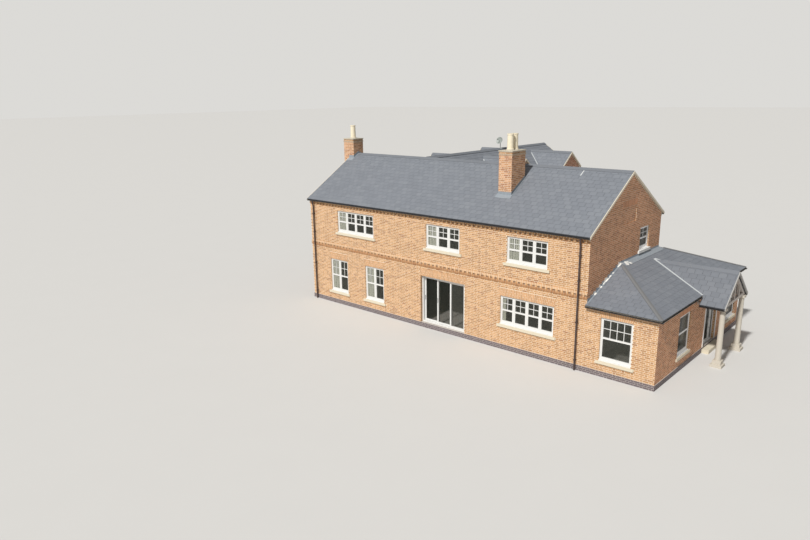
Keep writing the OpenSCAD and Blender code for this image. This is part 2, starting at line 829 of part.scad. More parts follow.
module main_roof_front() {
    color("#7f868f") difference() {
        main_slope();
        middle_stack_box(0, far);
        left_stack_box(0, far);
    }
}

module main_roof_back() {
    color("#7f868f") difference() {
        mirror([0, 1, 0]) main_slope();
        translate([wing_x, 0, 0]) {
            along_y([[-half_w, 0], [half_w, 0], [half_w, slope_eaves_z], [0, slope_apex_z],
                [-half_w, slope_eaves_z]], ridge_run, far);
            for (y = gablet_ys) gablet_space(y, -half_w, half_w);
        }
        left_stack_box(0, far);
    }
}

// Left slope of the wing's roof, drawn at X = 0, less what the main roof and the gablets take
module wing_slope() {
    difference() {
        union() {
            along_y(slope_core(half_w + eaves_box, slope_apex_z, tan_wing, wing_rise, wing_skin),
                ridge_run, wing_back - wall_t);
            along_y(slope_slates(half_w + eaves_out, slope_apex_z, tan_wing, wing_rise, wing_skin),
                ridge_run, wing_back + verge_out);
        }
        along_x(main_below, -far, far);
        for (y = gablet_ys) gablet_space(y, -far, 1);
    }
}

// Room under a gablet's roof, between its side walls' outer faces
module gablet_space(y, x0, x1) {
    along_x([[y - gablet_half, eaves_z - 600], [y + gablet_half, eaves_z - 600],
        [y + gablet_half, gablet_eaves_z + seat], [y, gablet_apex_z + seat],
        [y - gablet_half, gablet_eaves_z + seat]], x0, x1);
}

module wing_roof() {
    color("#7f868f") translate([wing_x, 0, 0]) for (side = [0, 1]) mirror([side, 0, 0]) wing_slope();
}

// Small roof over one gablet, drawn for the right side, down to the wing's slates
module gablet_roof(y) {
    slope = [gablet_apex_z + seat, tan_gablet, gablet_rise, gablet_skin];
    difference() {
        translate([0, y, 0]) for (s = [0, 1]) mirror([0, s, 0]) {
            along_x(slope_core(gablet_half, slope[0], slope[1], slope[2], slope[3]), 0, half_w - wall_t);
            along_x(slope_slates(gablet_half + gablet_eaves_out, slope[0], slope[1], slope[2], slope[3]),
                0, half_w + verge_out);
        }
        along_y([[0, 0], [half_w, 0], [half_w, slope_eaves_z + wing_rise + seat],
            [0, slope_apex_z + wing_rise + seat]], -far, far);
    }
}

module gablet_roofs() {
    color("#7f868f") translate([wing_x, 0, 0]) for (side = [0, 1]) mirror([side, 0, 0])
        for (y = gablet_ys) gablet_roof(y);
}

// Place children, drawn on the annex's right slope, on its right, front or rear slope
module on_annex_slope(side) {
    if (side == "right") children();
    if (side == "front") translate([half_l, annex_hip_y, 0]) rotate([0, 0, -90]) translate([-half_l, 0, 0])
        children();
    if (side == "rear") translate([half_l, half_d, 0]) rotate([0, 0, 90]) translate([-half_l, 0, 0])
        children();
}

// Layer along the annex's right slope between two heights at the wall, out to a distance from it
module annex_layer(z0, z1, reach) {
    translate([half_l, 0, 0]) along_y([[0, z0], [reach, z0 - reach * tan_annex],
        [reach, z1 - reach * tan_annex], [0, z1]], -far / 2, far / 2);
}

// Right slope of the annex roof: rafters to the boxed eaves, slates over them
module annex_slab() {
    annex_layer(annex_top_z - annex_rise, annex_top_z - annex_skin / 2, annex_out + eaves_box);
    annex_layer(annex_top_z - annex_skin, annex_top_z, annex_reach);
}

// Three slopes of the annex roof, mitred along the hips
module annex_roof() {
    color("#7f868f") {
        intersection() {
            annex_slab();
            prism([[half_l, annex_hip_y], [half_l + annex_reach, annex_hip_y - annex_reach],
                [half_l + annex_reach, half_d + annex_reach], [half_l, half_d]], 0, far);
        }
        intersection() {
            on_annex_slope("front") annex_slab();
            prism([[half_l, annex_hip_y - seat], [half_l, annex_hip_y - annex_reach],
                [half_l + annex_reach - seat, annex_hip_y - annex_reach]], 0, far);
        }
        intersection() {
            on_annex_slope("rear") annex_slab();
            prism([[annex_left, half_d], [half_l - seat, half_d],
                [half_l + annex_reach - seat, half_d + annex_reach],
                [annex_left, half_d + annex_reach]], 0, far);
        }
    }
}

// Gabled roof of the porch, down to the slates of the annex
module porch_roof() {
    color("#7f868f") difference() {
        translate([0, porch_y, 0]) for (side = [0, 1]) mirror([0, side, 0]) {
            along_x(slope_core(porch_box, porch_apex_z, tan_porch, porch_rise, porch_skin),
                porch_in, porch_end - porch_verge);
            along_x(slope_slates(porch_half, porch_apex_z, tan_porch, porch_rise, porch_skin),
                porch_in, porch_end);
        }
        along_y([[0, 0], [half_l + annex_reach, 0],
            [half_l + annex_reach, annex_top_z + seat - annex_reach * tan_annex],
            [half_l, annex_top_z + seat], [0, annex_top_z + seat]], -far, far);
    }
}

// Timbers of the porch: the open truss with its king and queen posts, and the plates on the columns
module porch_frame() {
    low_z = truss_apex_z - porch_box * tan_porch;
    tie_z = plate_top_z - timber;
    rafter_z = truss_apex_z - timber / cos(porch_pitch);
    open_half = (rafter_z - plate_top_z) / tan_porch;
    x0 = column_x - timber / 2;
    x1 = column_x + timber / 2;
    post_in = 10;
    queen_at = 550;
    open_section = [[porch_y - open_half, plate_top_z], [porch_y, rafter_z],
        [porch_y + open_half, plate_top_z]];
    color("#8d8378") {
        difference() {
            along_x([[porch_y - porch_box, tie_z], [porch_y - porch_box, low_z], [porch_y, truss_apex_z],
                [porch_y + porch_box, low_z], [porch_y + porch_box, tie_z]], x0, x1);
            along_x(open_section, x0 - 1, x1 + 1);
        }
        intersection() {
            along_x(open_section, x0, x1);
            for (at = [-queen_at, 0, queen_at])
                block(x0 + post_in, x1 - post_in, porch_y + at - timber / 2, porch_y + at + timber / 2,
                    0, far);
        }
        for (y = column_ys)
            block(annex_x, x0, y - timber / 2, y + timber / 2, tie_z, plate_top_z);
    }
}

module porch_columns() {
    pad_w = 430;
    pad_h = 110;
    base_w = 320;
    base_h = 150;
    cap_w = 260;
    cap_h = 90;
    neck_d = 0.85 * column_d;
    top_z = plate_top_z - timber;
    color("#cfc6b4") for (y = column_ys) translate([column_x, y, 0]) {
        translate([-pad_w / 2, -pad_w / 2, 0]) cube([pad_w, pad_w, pad_h]);
        translate([-base_w / 2, -base_w / 2, pad_h]) cube([base_w, base_w, base_h]);
        translate([0, 0, pad_h + base_h])
            cylinder(h = top_z - cap_h - pad_h - base_h, d1 = column_d, d2 = neck_d);
        translate([-cap_w / 2, -cap_w / 2, top_z - cap_h]) cube([cap_w, cap_w, cap_h]);
    }
}

// Head of a brick stack: thin cap and one oversailing course, as [bottom, top, out]
head_bands = [[-40, 0, 25], [-190, -115, 15]];
module stack_head(w, d) {
    for (band = head_bands)
        translate([-w / 2 - band[2], -d / 2 - band[2], band[0]])
            cube([w + 2 * band[2], d + 2 * band[2], band[1] - band[0]]);
}

// Sloping mortar round the foot of a pot
module flaunching() {
    foot_r = pot_d / 2 + pot_flange + seat;
    flaunch_w = 30;
    flaunch_h = 50;
    rotate_extrude() polygon([[foot_r, -1], [foot_r + flaunch_w, -1], [foot_r + flaunch_w, 0],
        [foot_r, flaunch_h]]);
}

// Places of the pots on the left and the middle stack
left_pot_at = [-half_l - left_stack_out + left_stack_w / 2, 0, left_stack_top_z];
middle_pots_at = [for (s = [-1, 1])
    [middle_stack_x, -middle_stack_front + s * (pot_d / 2 + pot_flange + pot_gap / 2), stack_top_z]];

module left_chimney() {
    color("#a86a48") {
        difference() {
            left_stack_box(0, left_stack_top_z - 1);
            along_x([[-half_d, 0], [half_d, 0], [half_d, slope_eaves_z + main_rise - main_skin],
                [0, main_ridge_z - main_skin], [-half_d, slope_eaves_z + main_rise - main_skin]],
                -half_l, far);
            block(-half_l - plinth_out, far, -far, far, -1, plinth_h);
        }
        translate(left_pot_at) {
            stack_head(left_stack_w, left_stack_d);
            flaunching();
        }
    }
}

module middle_chimney() {
    color("#b98054") {
        difference() {
            middle_stack_box(eaves_z, stack_top_z - 1);
            along_x([[-half_d, 0], [0, 0], [0, apex_z], [-half_d, eaves_z]], -far, far);
        }
        translate([middle_stack_x, -middle_stack_front, stack_top_z])
            stack_head(middle_stack_w, middle_stack_d);
        for (at = middle_pots_at) translate(at) flaunching();
    }
}

// Tapered pot with a flange at its foot and a rim
module pot() {
    wall = 30;
    foot_h = 60;
    rim_h = 50;
    bevel = 12;
    neck = pot_d / 2 - 10;
    rotate_extrude() polygon([[pot_d / 2 - wall, 0], [pot_d / 2 + pot_flange, 0],
        [pot_d / 2 + pot_flange, foot_h], [pot_d / 2, foot_h + bevel],
        [neck, pot_h - rim_h - bevel], [neck + bevel, pot_h - rim_h], [neck + bevel, pot_h],
        [pot_d / 2 - wall, pot_h]]);
}

module chimney_pots() {
    color("#e3d3ae") {
        translate(left_pot_at) pot();
        for (at = middle_pots_at) translate(at) pot();
    }
}

// Angled ridge tile section over a ridge at Z = 0, along X
module ridge_along_x(x0, x1, pitch) {
    run = ridge_tile_w * cos(pitch);
    drop = ridge_tile_w * sin(pitch);
    rise = ridge_tile_t / cos(pitch);
    translate([0, 0, seat]) along_x([[-run, -drop], [0, 0], [run, -drop], [run, rise - drop], [0, rise],
        [-run, rise - drop]], x0, x1);
}

// Hip tiles of the annex over the slates, with end = -1 for the front hip and 1 for the rear one
module hip_tiles(end) {
    side = end < 0 ? "front" : "rear";
    hip_y = end < 0 ? annex_hip_y : half_d;
    start = lead_w + 20;
    stop = annex_reach;
    wide = 110;
    on_hip = [[half_l + start, hip_y + end * start], [half_l + stop, hip_y + end * stop]];
    intersection() {
        annex_layer(annex_top_z + seat, annex_top_z + ridge_tile_t, annex_reach);
        prism([on_hip[0], on_hip[1], on_hip[1] - [0, end * wide], on_hip[0] - [0, end * wide]], 0, far);
    }
    intersection() {
        on_annex_slope(side) annex_layer(annex_top_z + seat, annex_top_z + ridge_tile_t, annex_reach);
        prism([on_hip[0], on_hip[1], on_hip[1] - [wide, 0], on_hip[0] - [wide, 0]], 0, far);
        block(half_l + lead_w + 1, far, -far, far, 0, far);
    }
}

module ridge_tiles() {
    ridge_gap = 10;
    stack_edge = -half_l - left_stack_out + left_stack_w + stack_lead;
    gablet_in = (wing_ridge_z - gablet_ridge_z + ridge_tile_w * sin(gablet_pitch)) / tan_wing;
    porch_start = porch_in + ridge_tile_w * sin(porch_pitch) / tan_annex;
    color("#6f757d") {
        translate([0, 0, main_ridge_z])
            ridge_along_x(stack_edge + ridge_gap, half_l + verge_out, roof_pitch);
        translate([wing_x, 0, wing_ridge_z]) rotate([0, 0, 90])
            ridge_along_x(ridge_run + ridge_gap, wing_back + verge_out, wing_pitch);
        translate([wing_x, 0, gablet_ridge_z + seat]) for (side = [0, 1]) mirror([side, 0, 0])
            for (y = gablet_ys) translate([0, y, 0])
                ridge_along_x(gablet_in + ridge_gap, half_w + verge_out, gablet_pitch);
        translate([0, porch_y, porch_ridge_z])
            ridge_along_x(porch_start + ridge_gap, porch_end, porch_pitch);
        for (end = [-1, 1]) hip_tiles(end);
    }
}

// Stepped lead on the right gable beside the annex's front slope
module stepped_lead() {
    step = 225;
    count = floor(annex_out / step);
    for (i = [0 : count - 1]) {
        y1 = annex_hip_y - i * step;
        z1 = annex_top_z - i * step * tan_annex;
        along_x([[y1, z1 + seat], [y1, z1 + lead_h], [y1 - step, z1 + lead_h],
            [y1 - step, z1 + seat - step * tan_annex]], half_l, half_l + lead_t);
    }
}

// Lead against the walls at the top of the annex roof
module annex_lead() {
    lead_section = [[0, annex_top_z + seat], [lead_w, annex_top_z + seat - lead_w * tan_annex],
        [lead_w, annex_top_z + lead_sheet - lead_w * tan_annex],
        [lead_t, annex_top_z + lead_sheet - lead_t * tan_annex],
        [lead_t, annex_top_z + lead_h], [0, annex_top_z + lead_h]];
    translate([half_l, 0, 0]) along_y(lead_section, annex_hip_y, half_d);
    on_annex_slope("rear") translate([half_l, 0, 0])
        along_y(lead_section, 0, half_l - annex_left);
    stepped_lead();
    intersection() {
        on_annex_slope("front")
            annex_layer(annex_top_z + seat, annex_top_z + lead_sheet, annex_out);
        prism([[half_l + lead_t, annex_hip_y - lead_t - seat], [half_l + lead_t, -far],
            [half_l + side_lead_w, -far], [half_l + side_lead_w, annex_hip_y - side_lead_w - seat]], 0, far);
    }
}

// Lead round a stack in the main roof: sheets on the slates and an upstand against the bricks
module stack_apron(x0, x1, y0, y1) {
    top = slope_apex_z + main_rise;
    apron_front = 200;
    reach = half_d + eaves_out;
    difference() {
        union() {
            intersection() {
                along_x(chevron(reach, top, tan_main, seat, lead_sheet), x0 - stack_lead, x1 + stack_lead);
                block(-far, far, y0 - apron_front, y1 + stack_lead, 0, far);
            }
            intersection() {
                along_x(chevron(reach, top, tan_main, seat, stack_lead_h), x0 - lead_t, x1 + lead_t);
                block(-far, far, y0 - lead_t, y1 + lead_t, 0, far);
            }
        }
        block(x0, x1, y0, y1, 0, far);
    }
}

// Lead in the valleys where the porch, the wing and the gablets meet the slates of a larger roof
module valley_lead() {
    valley_w = 100;
    cap = 60;
    for (s = [-1, 1]) {
        low = [half_l + annex_reach, porch_y + s * porch_valley];
        top = [porch_in - cap, porch_y];
        intersection() {
            annex_layer(annex_top_z + seat, annex_top_z + lead_sheet, annex_reach);
            prism([[porch_in, porch_y + s * seat], low + [0, s * seat], low + [0, s * valley_w],
                top + [0, s * valley_w], top + [0, s * seat]], 0, far);
        }
    }
    main_start = ridge_tile_w + 40;
    translate([wing_x, 0, 0]) for (side = [0, 1]) mirror([side, 0, 0]) {
        k = tan_main / tan_wing;
        wing_edge = (wing_ridge_z - main_ridge_z) / tan_wing + seat;
        intersection() {
            along_x(chevron(half_d + eaves_out, slope_apex_z + main_rise, tan_main, seat, lead_sheet),
                -far, far);
            prism([[k * main_start + wing_edge, main_start], [k * main_start + valley_w, main_start],
                [k * (half_d + eaves_out) + valley_w, half_d + eaves_out],
                [k * (half_d + eaves_out) + wing_edge, half_d + eaves_out]], 0, far);
        }
        for (y = gablet_ys) for (s = [-1, 1]) {
            d0 = ridge_tile_w;
            d1 = gablet_half + gablet_eaves_out;
            x0 = (wing_ridge_z - gablet_ridge_z + d0 * tan_gablet) / tan_wing;
            x1 = (wing_ridge_z - gablet_ridge_z + d1 * tan_gablet) / tan_wing;
            intersection() {
                along_y(chevron(half_w, wing_ridge_z, tan_wing, seat, lead_sheet), 0, far);
                prism([[x0, y + s * (d0 + seat)], [x1, y + s * (d1 + seat)],
                    [x1, y + s * (d1 + valley_w)], [x0, y + s * (d0 + valley_w)]], 0, far);
            }
        }
    }
}

module lead_flashings() {
    left_x = -half_l - left_stack_out;
    color("#8f9aa5") {
        annex_lead();
        stack_apron(middle_stack_x - middle_stack_w / 2, middle_stack_x + middle_stack_w / 2,
            -middle_stack_front - middle_stack_d / 2, -middle_stack_front + middle_stack_d / 2);
        intersection() {
            stack_apron(left_x, left_x + left_stack_w, -left_stack_d / 2, left_stack_d / 2);
            block(-half_l - verge_out, far, -far, far, 0, far);
        }
        valley_lead();
    }
}

// Half-round gutter with its closed ends, along X, its back edge at Y = 0 and its rim at Z = 0
module gutter_x(x0, x1) {
    translate([x0, -gutter_r, 0]) rotate([90, 0, 90]) difference() {
        linear_extrude(x1 - x0) intersection() {
            circle(gutter_r);
            translate([-gutter_r, -gutter_r]) square([2 * gutter_r, gutter_r]);
        }
        translate([0, 0, gutter_t]) linear_extrude(x1 - x0 - 2 * gutter_t) circle(gutter_r - gutter_t);
    }
}

module gutters() {
    annex_low_x = annex_x + eaves_box;
    color("#26262a") {
        translate([0, -half_d - eaves_box, main_gutter_z])
            gutter_x(-half_l - verge_out, half_l + verge_out);
        translate([0, half_d + eaves_box, main_gutter_z]) mirror([0, 1, 0]) {
            gutter_x(-half_l - verge_out, wing_x - half_w - gutter_front);
            gutter_x(annex_left + gutter_front, half_l + verge_out);
        }
        translate([wing_x, 0, wing_gutter_z]) for (side = [0, 1]) mirror([side, 0, 0])
            translate([half_w + eaves_box, 0, 0]) rotate([0, 0, 90]) for (run = wing_gutter_runs)
                gutter_x(run[0], run[1]);
        translate([0, -half_d - eaves_box, annex_gutter_z])
            gutter_x(half_l, annex_low_x + 2 * gutter_r);
        translate([annex_low_x, 0, annex_gutter_z]) rotate([0, 0, 90]) {
            gutter_x(-half_d - eaves_box, porch_y - annex_gutter_end);
            gutter_x(porch_y + annex_gutter_end, annex_y + eaves_box);
        }
        translate([0, annex_y + eaves_box, annex_gutter_z]) mirror([0, 1, 0])
            gutter_x(annex_left, annex_low_x + 2 * gutter_r);
        translate([0, porch_y, porch_gutter_z]) for (side = [0, 1]) mirror([0, side, 0])
            translate([0, -porch_box, 0]) gutter_x(half_l + annex_reach, porch_end);
    }
}

// Downpipes with their swan necks and clips
module downpipes() {
    outlet_h = 60;
    neck_drop = 200;
    neck_top = main_gutter_z - gutter_r / 2;
    neck_mid = main_gutter_z - gutter_r - outlet_h;
    neck_low = neck_mid - neck_drop;
    neck_out = eaves_box + gutter_r - pipe_out;
    elbow_t = 3;
    clip_side = 12;
    clip_front = 8;
    clip_h = 35;
    color("#2f2724") difference() {
        for (x = pipe_xs) translate([x, -half_d - pipe_out, 0]) {
            cylinder(h = neck_low, d = pipe_d);
            translate([0, 0, neck_low]) sphere(d = pipe_d + 2 * elbow_t);
            translate([0, 0, neck_low]) rotate([atan2(neck_out, neck_drop), 0, 0])
                cylinder(h = norm([neck_out, neck_drop]), d = pipe_d);
            translate([0, -neck_out, neck_mid]) sphere(d = pipe_d + 2 * elbow_t);
            translate([0, -neck_out, neck_mid]) cylinder(h = neck_top - neck_mid, d = pipe_d);
            for (z = clip_zs)
                translate([-pipe_d / 2 - clip_side, -pipe_d / 2 - clip_front, z])
                    cube([pipe_d + 2 * clip_side, pipe_out + pipe_d / 2 + clip_front, clip_h]);
        }
        translate([0, -half_d - eaves_box - gutter_r, main_gutter_z])
            rotate([0, 90, 0]) cylinder(h = 2 * far, r = gutter_r + seat, center = true);
    }
}

module front_windows() {
    color("white") on_front() {
        for (w = front_upper) window(w);
        for (w = front_ground) window(w);
    }
}

module right_gable_window() {
    color("white") on_right_gable() window(gable_win);
}

module rear_windows() {
    color("white") on_rear() {
        for (w = rear_right_wins) window(w);
        window(rear_left_upper);
        window(rear_left_ground);
    }
}

module annex_windows() {
    color("white") {
        on_annex_front() window(annex_front_win);
        on_annex_side() for (w = annex_side_wins) window(w);
        on_annex_rear() for (w = annex_rear_wins) window(w);
    }
}

module wing_windows() {
    color("white") {
        on_wing_left() {
            for (w = wing_left_upper) window(w);
            for (w = wing_left_ground) window(w);
        }
        on_wing_right() {
            for (w = wing_right_upper) window(w);
            window(wing_right_ground);
        }
        on_wing_rear() {
            for (w = wing_rear_upper) window(w);
            for (w = wing_rear_ground) window(w);
        }
    }
}

// Frame of one glazed panel and its pane, X along the wall, Y inwards, Z up
module panel_frame(w, h, t, stile) {
    difference() {
        cube([w, t, h]);
        translate([stile, -1, stile]) cube([w - 2 * stile, t + 2, h - 2 * stile]);
    }
}

module panel_pane(w, h, t, stile) {
    translate([stile, (t - glass_t) / 2, stile]) cube([w - 2 * stile, glass_t, h - 2 * stile]);
}

// Fixed frame of the garden doors with its fixed right panel
fixed_panel_h = patio_h - 2 * patio_frame_w;
module at_fixed_panel() {
    translate([patio_x + patio_w - patio_frame_w - panel_w, -half_d + patio_back, plinth_h + patio_frame_w])
        children();
}

module garden_door_frame() {
    color("white") {
        translate([patio_x, -half_d + patio_back, plinth_h]) {
            difference() {
                cube([patio_w, track_d, patio_h]);
                translate([patio_frame_w, -1, patio_frame_w]) cube([patio_in, track_d + 2, fixed_panel_h]);
            }
            for (track = [1, 2])
                translate([patio_frame_w, track * track_step + (panel_t - rail_w) / 2, patio_frame_w])
                    cube([patio_in, rail_w, rail_h]);
        }
        at_fixed_panel() panel_frame(panel_w, fixed_panel_h, panel_t, stile_w);
    }
}

module sliding_panel(index) {
    leaf_h = fixed_panel_h - 2 * door_gap;
    color("white") translate([patio_x + patio_frame_w + door_gap + index * (panel_w - stile_w),
        -half_d + patio_back + (2 - index) * track_step, plinth_h + patio_frame_w + door_gap]) {
        panel_frame(panel_w, leaf_h, panel_t, stile_w);
        panel_pane(panel_w, leaf_h, panel_t, stile_w);
        translate([stile_w / 2 - pull_w / 2, -pull_t, pull_z]) cube([pull_w, pull_t, pull_h]);
        for (x = [shoe_in, panel_w - shoe_in - shoe_l])
            translate([x, (panel_t - shoe_w) / 2, rail_h + seat - door_gap])
                cube([shoe_l, shoe_w, door_gap - rail_h - seat]);
    }
}

module garden_door_left() { sliding_panel(0); }
module garden_door_middle() { sliding_panel(1); }

// Place children at the entrance, with X along the wall, Y inwards and Z up
module at_entrance() {
    translate([annex_x - entrance_back, entrance_y, plinth_h]) rotate([0, 0, 90]) children();
}

// Entrance frame with the door's opening and a narrow side light
side_light_at = entrance_frame_w + leaf_w + 2 * door_gap + mullion_w;
side_light_w = entrance_w - side_light_at - entrance_frame_w;
side_light_h = entrance_h - 2 * entrance_frame_w;
module entrance_frame() {
    color("#d9d6cc") at_entrance() {
        difference() {
            cube([entrance_w, frame_d, entrance_h]);
            translate([entrance_frame_w, -1, entrance_sill])
                cube([leaf_w + 2 * door_gap, frame_d + 2, entrance_h - entrance_frame_w - entrance_sill]);
            translate([side_light_at, -1, entrance_frame_w])
                cube([side_light_w, frame_d + 2, side_light_h]);
        }
        for (z = hinge_zs) translate([hinge_x, hinge_y, z]) {
            translate([0, 0, -hinge_h / 2]) cylinder(h = hinge_h, r = hinge_pin_r);
            for (end = [-1, 1]) translate([0, 0, end * (hinge_h / 2 - hinge_end / 2)]) {
                cylinder(h = hinge_end, r = hinge_r, center = true);
                translate([-entrance_frame_w / 2, hinge_fold / 2 - hinge_y + frame_d, 0])
                    cube([entrance_frame_w, hinge_fold, hinge_end], center = true);
            }
        }
    }
}

module entrance_door() {
    leaf_h = entrance_h - entrance_frame_w - entrance_sill - 2 * door_gap;
    knuckle_h = hinge_h - 2 * hinge_end - 2 * seat;
    knob_d = 22;
    lever_out = 40;
    lever_t = 18;
    lever_h = 20;
    color("#d9d6cc") at_entrance() {
        translate([entrance_frame_w + door_gap, frame_d - leaf_t, entrance_sill + door_gap]) {
            panel_frame(leaf_w, leaf_h, leaf_t, leaf_stile);
            panel_pane(leaf_w, leaf_h, leaf_t, leaf_stile);
            for (y = [-lever_out, leaf_t]) translate([leaf_w - leaf_stile / 2, y, lever_z]) {
                rotate([-90, 0, 0]) cylinder(h = lever_out, d = knob_d);
                translate([-120, y < 0 ? 0 : lever_out - lever_t, -lever_h / 2])
                    cube([130, lever_t, lever_h]);
            }
        }
        for (z = hinge_zs) translate([hinge_x, hinge_y, z]) difference() {
            union() {
                cylinder(h = knuckle_h, r = hinge_r, center = true);
                translate([0, -hinge_y + frame_d, -knuckle_h / 2])
                    cube([entrance_frame_w / 2, hinge_fold, knuckle_h]);
            }
            cylinder(h = hinge_h, r = hinge_pin_r + seat, center = true);
        }
    }
}

// Double glazing of all fixed windows and panels
module window_glass() {
    color("#9db4bf") {
        on_front() {
            for (w = front_upper) glass(w);
            for (w = front_ground) glass(w);
        }
        on_right_gable() glass(gable_win);
        on_rear() {
            for (w = rear_right_wins) glass(w);
            glass(rear_left_upper);
            glass(rear_left_ground);
        }
        on_annex_front() glass(annex_front_win);
        on_annex_side() for (w = annex_side_wins) glass(w);
        on_annex_rear() for (w = annex_rear_wins) glass(w);
        on_wing_left() {
            for (w = wing_left_upper) glass(w);
            for (w = wing_left_ground) glass(w);
        }
        on_wing_right() {
            for (w = wing_right_upper) glass(w);
            glass(wing_right_ground);
        }
        on_wing_rear() {
            for (w = wing_rear_upper) glass(w);
            for (w = wing_rear_ground) glass(w);
        }
        at_fixed_panel() panel_pane(panel_w, fixed_panel_h, panel_t, stile_w);
        at_entrance() translate([side_light_at, (frame_d - glass_t) / 2, entrance_frame_w])
            cube([side_light_w, glass_t, side_light_h]);
    }
}

// Small dish on a mast clamped to the wing's ridge
module dish_aerial() {
    dish_d = 400;
    dish_deep = 45;
    shallow = 11;
    dish_t = 4;
    mast_d = 34;
    mast_h = 420;
    saddle_l = 120;
    saddle_t = 6;
    arm_l = 230;
    head_d = 55;
    tilt = 24;
    tile_top = wing_ridge_z + seat + ridge_tile_t / cos(wing_pitch);
    color("#a9b0a6") translate([wing_x, dish_y, tile_top]) {
        rotate([0, 0, 90]) along_x(chevron(saddle_l, 0, tan_wing, seat, saddle_t),
            -saddle_l / 2, saddle_l / 2);
        cylinder(h = mast_h, d = mast_d);
        translate([0, -mast_d / 2 - dish_deep, mast_h - mast_d]) rotate([90 - tilt, 0, 0]) {
            translate([0, 0, -dish_deep]) cylinder(h = dish_deep + dish_t, d = mast_d);
            rotate_extrude() polygon([[0, 0], [dish_d / 4, shallow], [dish_d / 2, dish_deep],
                [dish_d / 2, dish_deep + dish_t], [dish_d / 4, shallow + dish_t], [0, dish_t]]);
            cylinder(h = arm_l, d = mast_d / 2);
            translate([0, 0, arm_l]) cylinder(h = head_d, d = head_d);
        }
    }
}

plinth();
ground_floor();
upper_floor();
front_wall_left();
front_wall_right();
front_wall_over_doors();
left_gable_wall();
right_gable_wall();
rear_wall();
wing_left_wall();
wing_right_wall();
wing_rear_wall();
annex_front_wall();
annex_side_wall();
annex_side_wall_back();
annex_wall_over_door();
annex_rear_wall();
main_roof_front();
main_roof_back();
wing_roof();
gablet_roofs();
gablet_cheeks();
annex_roof();
porch_roof();
porch_frame();
porch_columns();
left_chimney();
middle_chimney();
chimney_pots();
ridge_tiles();
lead_flashings();
gutters();
downpipes();
brick_courses();
stone_sills();
front_windows();
right_gable_window();
rear_windows();
annex_windows();
wing_windows();
window_glass();
garden_door_frame();
garden_door_left();
garden_door_middle();
entrance_frame();
entrance_door();
dish_aerial();
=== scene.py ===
"""Brickwork, slates, joinery and finishes of a detached house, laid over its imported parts."""
import math
import functools

import bpy
import bmesh
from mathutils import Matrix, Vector


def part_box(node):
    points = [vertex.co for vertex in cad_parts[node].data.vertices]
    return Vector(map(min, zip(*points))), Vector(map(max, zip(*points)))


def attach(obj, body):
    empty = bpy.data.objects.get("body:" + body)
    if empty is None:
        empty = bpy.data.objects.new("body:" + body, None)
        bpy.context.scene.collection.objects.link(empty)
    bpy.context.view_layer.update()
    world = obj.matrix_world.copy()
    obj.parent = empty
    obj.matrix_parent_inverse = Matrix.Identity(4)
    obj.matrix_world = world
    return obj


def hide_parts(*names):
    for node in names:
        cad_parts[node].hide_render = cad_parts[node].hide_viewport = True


bl_info = {
    "name": "Detached house",
    "version": (1, 0, 0),
    "blender": (4, 5, 0),
    "location": "View3D > Sidebar > House",
    "description": "Lays the bricks, slates, arches and bars of a detached house and finishes its parts",
    "category": "Object",
}

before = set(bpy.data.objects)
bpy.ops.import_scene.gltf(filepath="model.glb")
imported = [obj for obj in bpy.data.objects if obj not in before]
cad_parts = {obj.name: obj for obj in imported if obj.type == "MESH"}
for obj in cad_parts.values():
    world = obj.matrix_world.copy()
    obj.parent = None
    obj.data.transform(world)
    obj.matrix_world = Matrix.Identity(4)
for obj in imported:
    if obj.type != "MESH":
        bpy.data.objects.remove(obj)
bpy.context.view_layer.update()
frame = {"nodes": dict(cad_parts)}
HOUSE = "house"
X = 0
Y = 1

# Levels this near are one level, and a wall's painted face reaches this far either side of it
TOUCH = 0.001
FACE = 0.0015

# Brick modules in metres: a stretcher and its course with their mortar
COURSE = 0.075
STRETCHER = 0.225
HEADER = 0.1125
COURSE_BASE = 0.235
PROUD = 0.002

# Walls: their thickness, and the depth of the outer face that is not plastered
WALL = 0.30
SKIN = 0.12

# Heads of the stacks: how far the cap stands out, its mortar's height and the depth below it
CAP_OUT = 0.025
FLAUNCH = 0.050
HEAD = 0.190

# Farther than any edge of the house, for holes that pass an edge
FAR = 20.0

# Blind panel of the right gable: from, to, bottom and top, and how deep it lies
PANEL = (-0.63, 0.63, 5.23, 5.91)
PANEL_DEEP = 0.030

# Lead strip on the front slope: its sides along X and along Y
STRIP = (5.71, 5.75, -0.44, -0.15)

# Slopes of the roofs, in degrees, as the part's source has them
MAIN_PITCH = 31.0
ANNEX_PITCH = 20.0
PORCH_PITCH = 39.0
GABLET_PITCH = 37.5

# Margin in metres between a gable's bricks and its slopes, and the least gap that is cut for a roof
MARGIN = 0.05
LEAST_CUT = 0.02

# Heading of a course on a face, by the axis and side that the face looks to
HEADING = {(Y, -1): 0.0, (X, 1): 90.0, (Y, 1): 180.0, (X, -1): -90.0}

# Nodes that stand in or on the walls, and the corners of a box's faces
WINDOWS = ("front_windows", "right_gable_window", "rear_windows", "annex_windows", "wing_windows")
ON_WALLS = WINDOWS + ("garden_door_frame", "entrance_frame", "stone_sills", "brick_courses")
BOX_FACES = ((0, 1, 3, 2), (4, 6, 7, 5), (0, 4, 5, 1), (2, 3, 7, 6), (0, 2, 6, 4), (1, 5, 7, 3))


def colour(name, description, value):
    """A colour property with its default in linear RGB."""
    return bpy.props.FloatVectorProperty(
        name=name, description=description, subtype="COLOR", size=3, min=0.0, max=2.0, soft_max=1.0,
        default=value)


def length(name, description, value):
    """A length property in metres."""
    return bpy.props.FloatProperty(
        name=name, description=description, subtype="DISTANCE", unit="LENGTH", min=0.0, default=value)


def strength(name, description, value):
    """A light's strength as a property."""
    return bpy.props.FloatProperty(name=name, description=description, min=0.0, default=value)


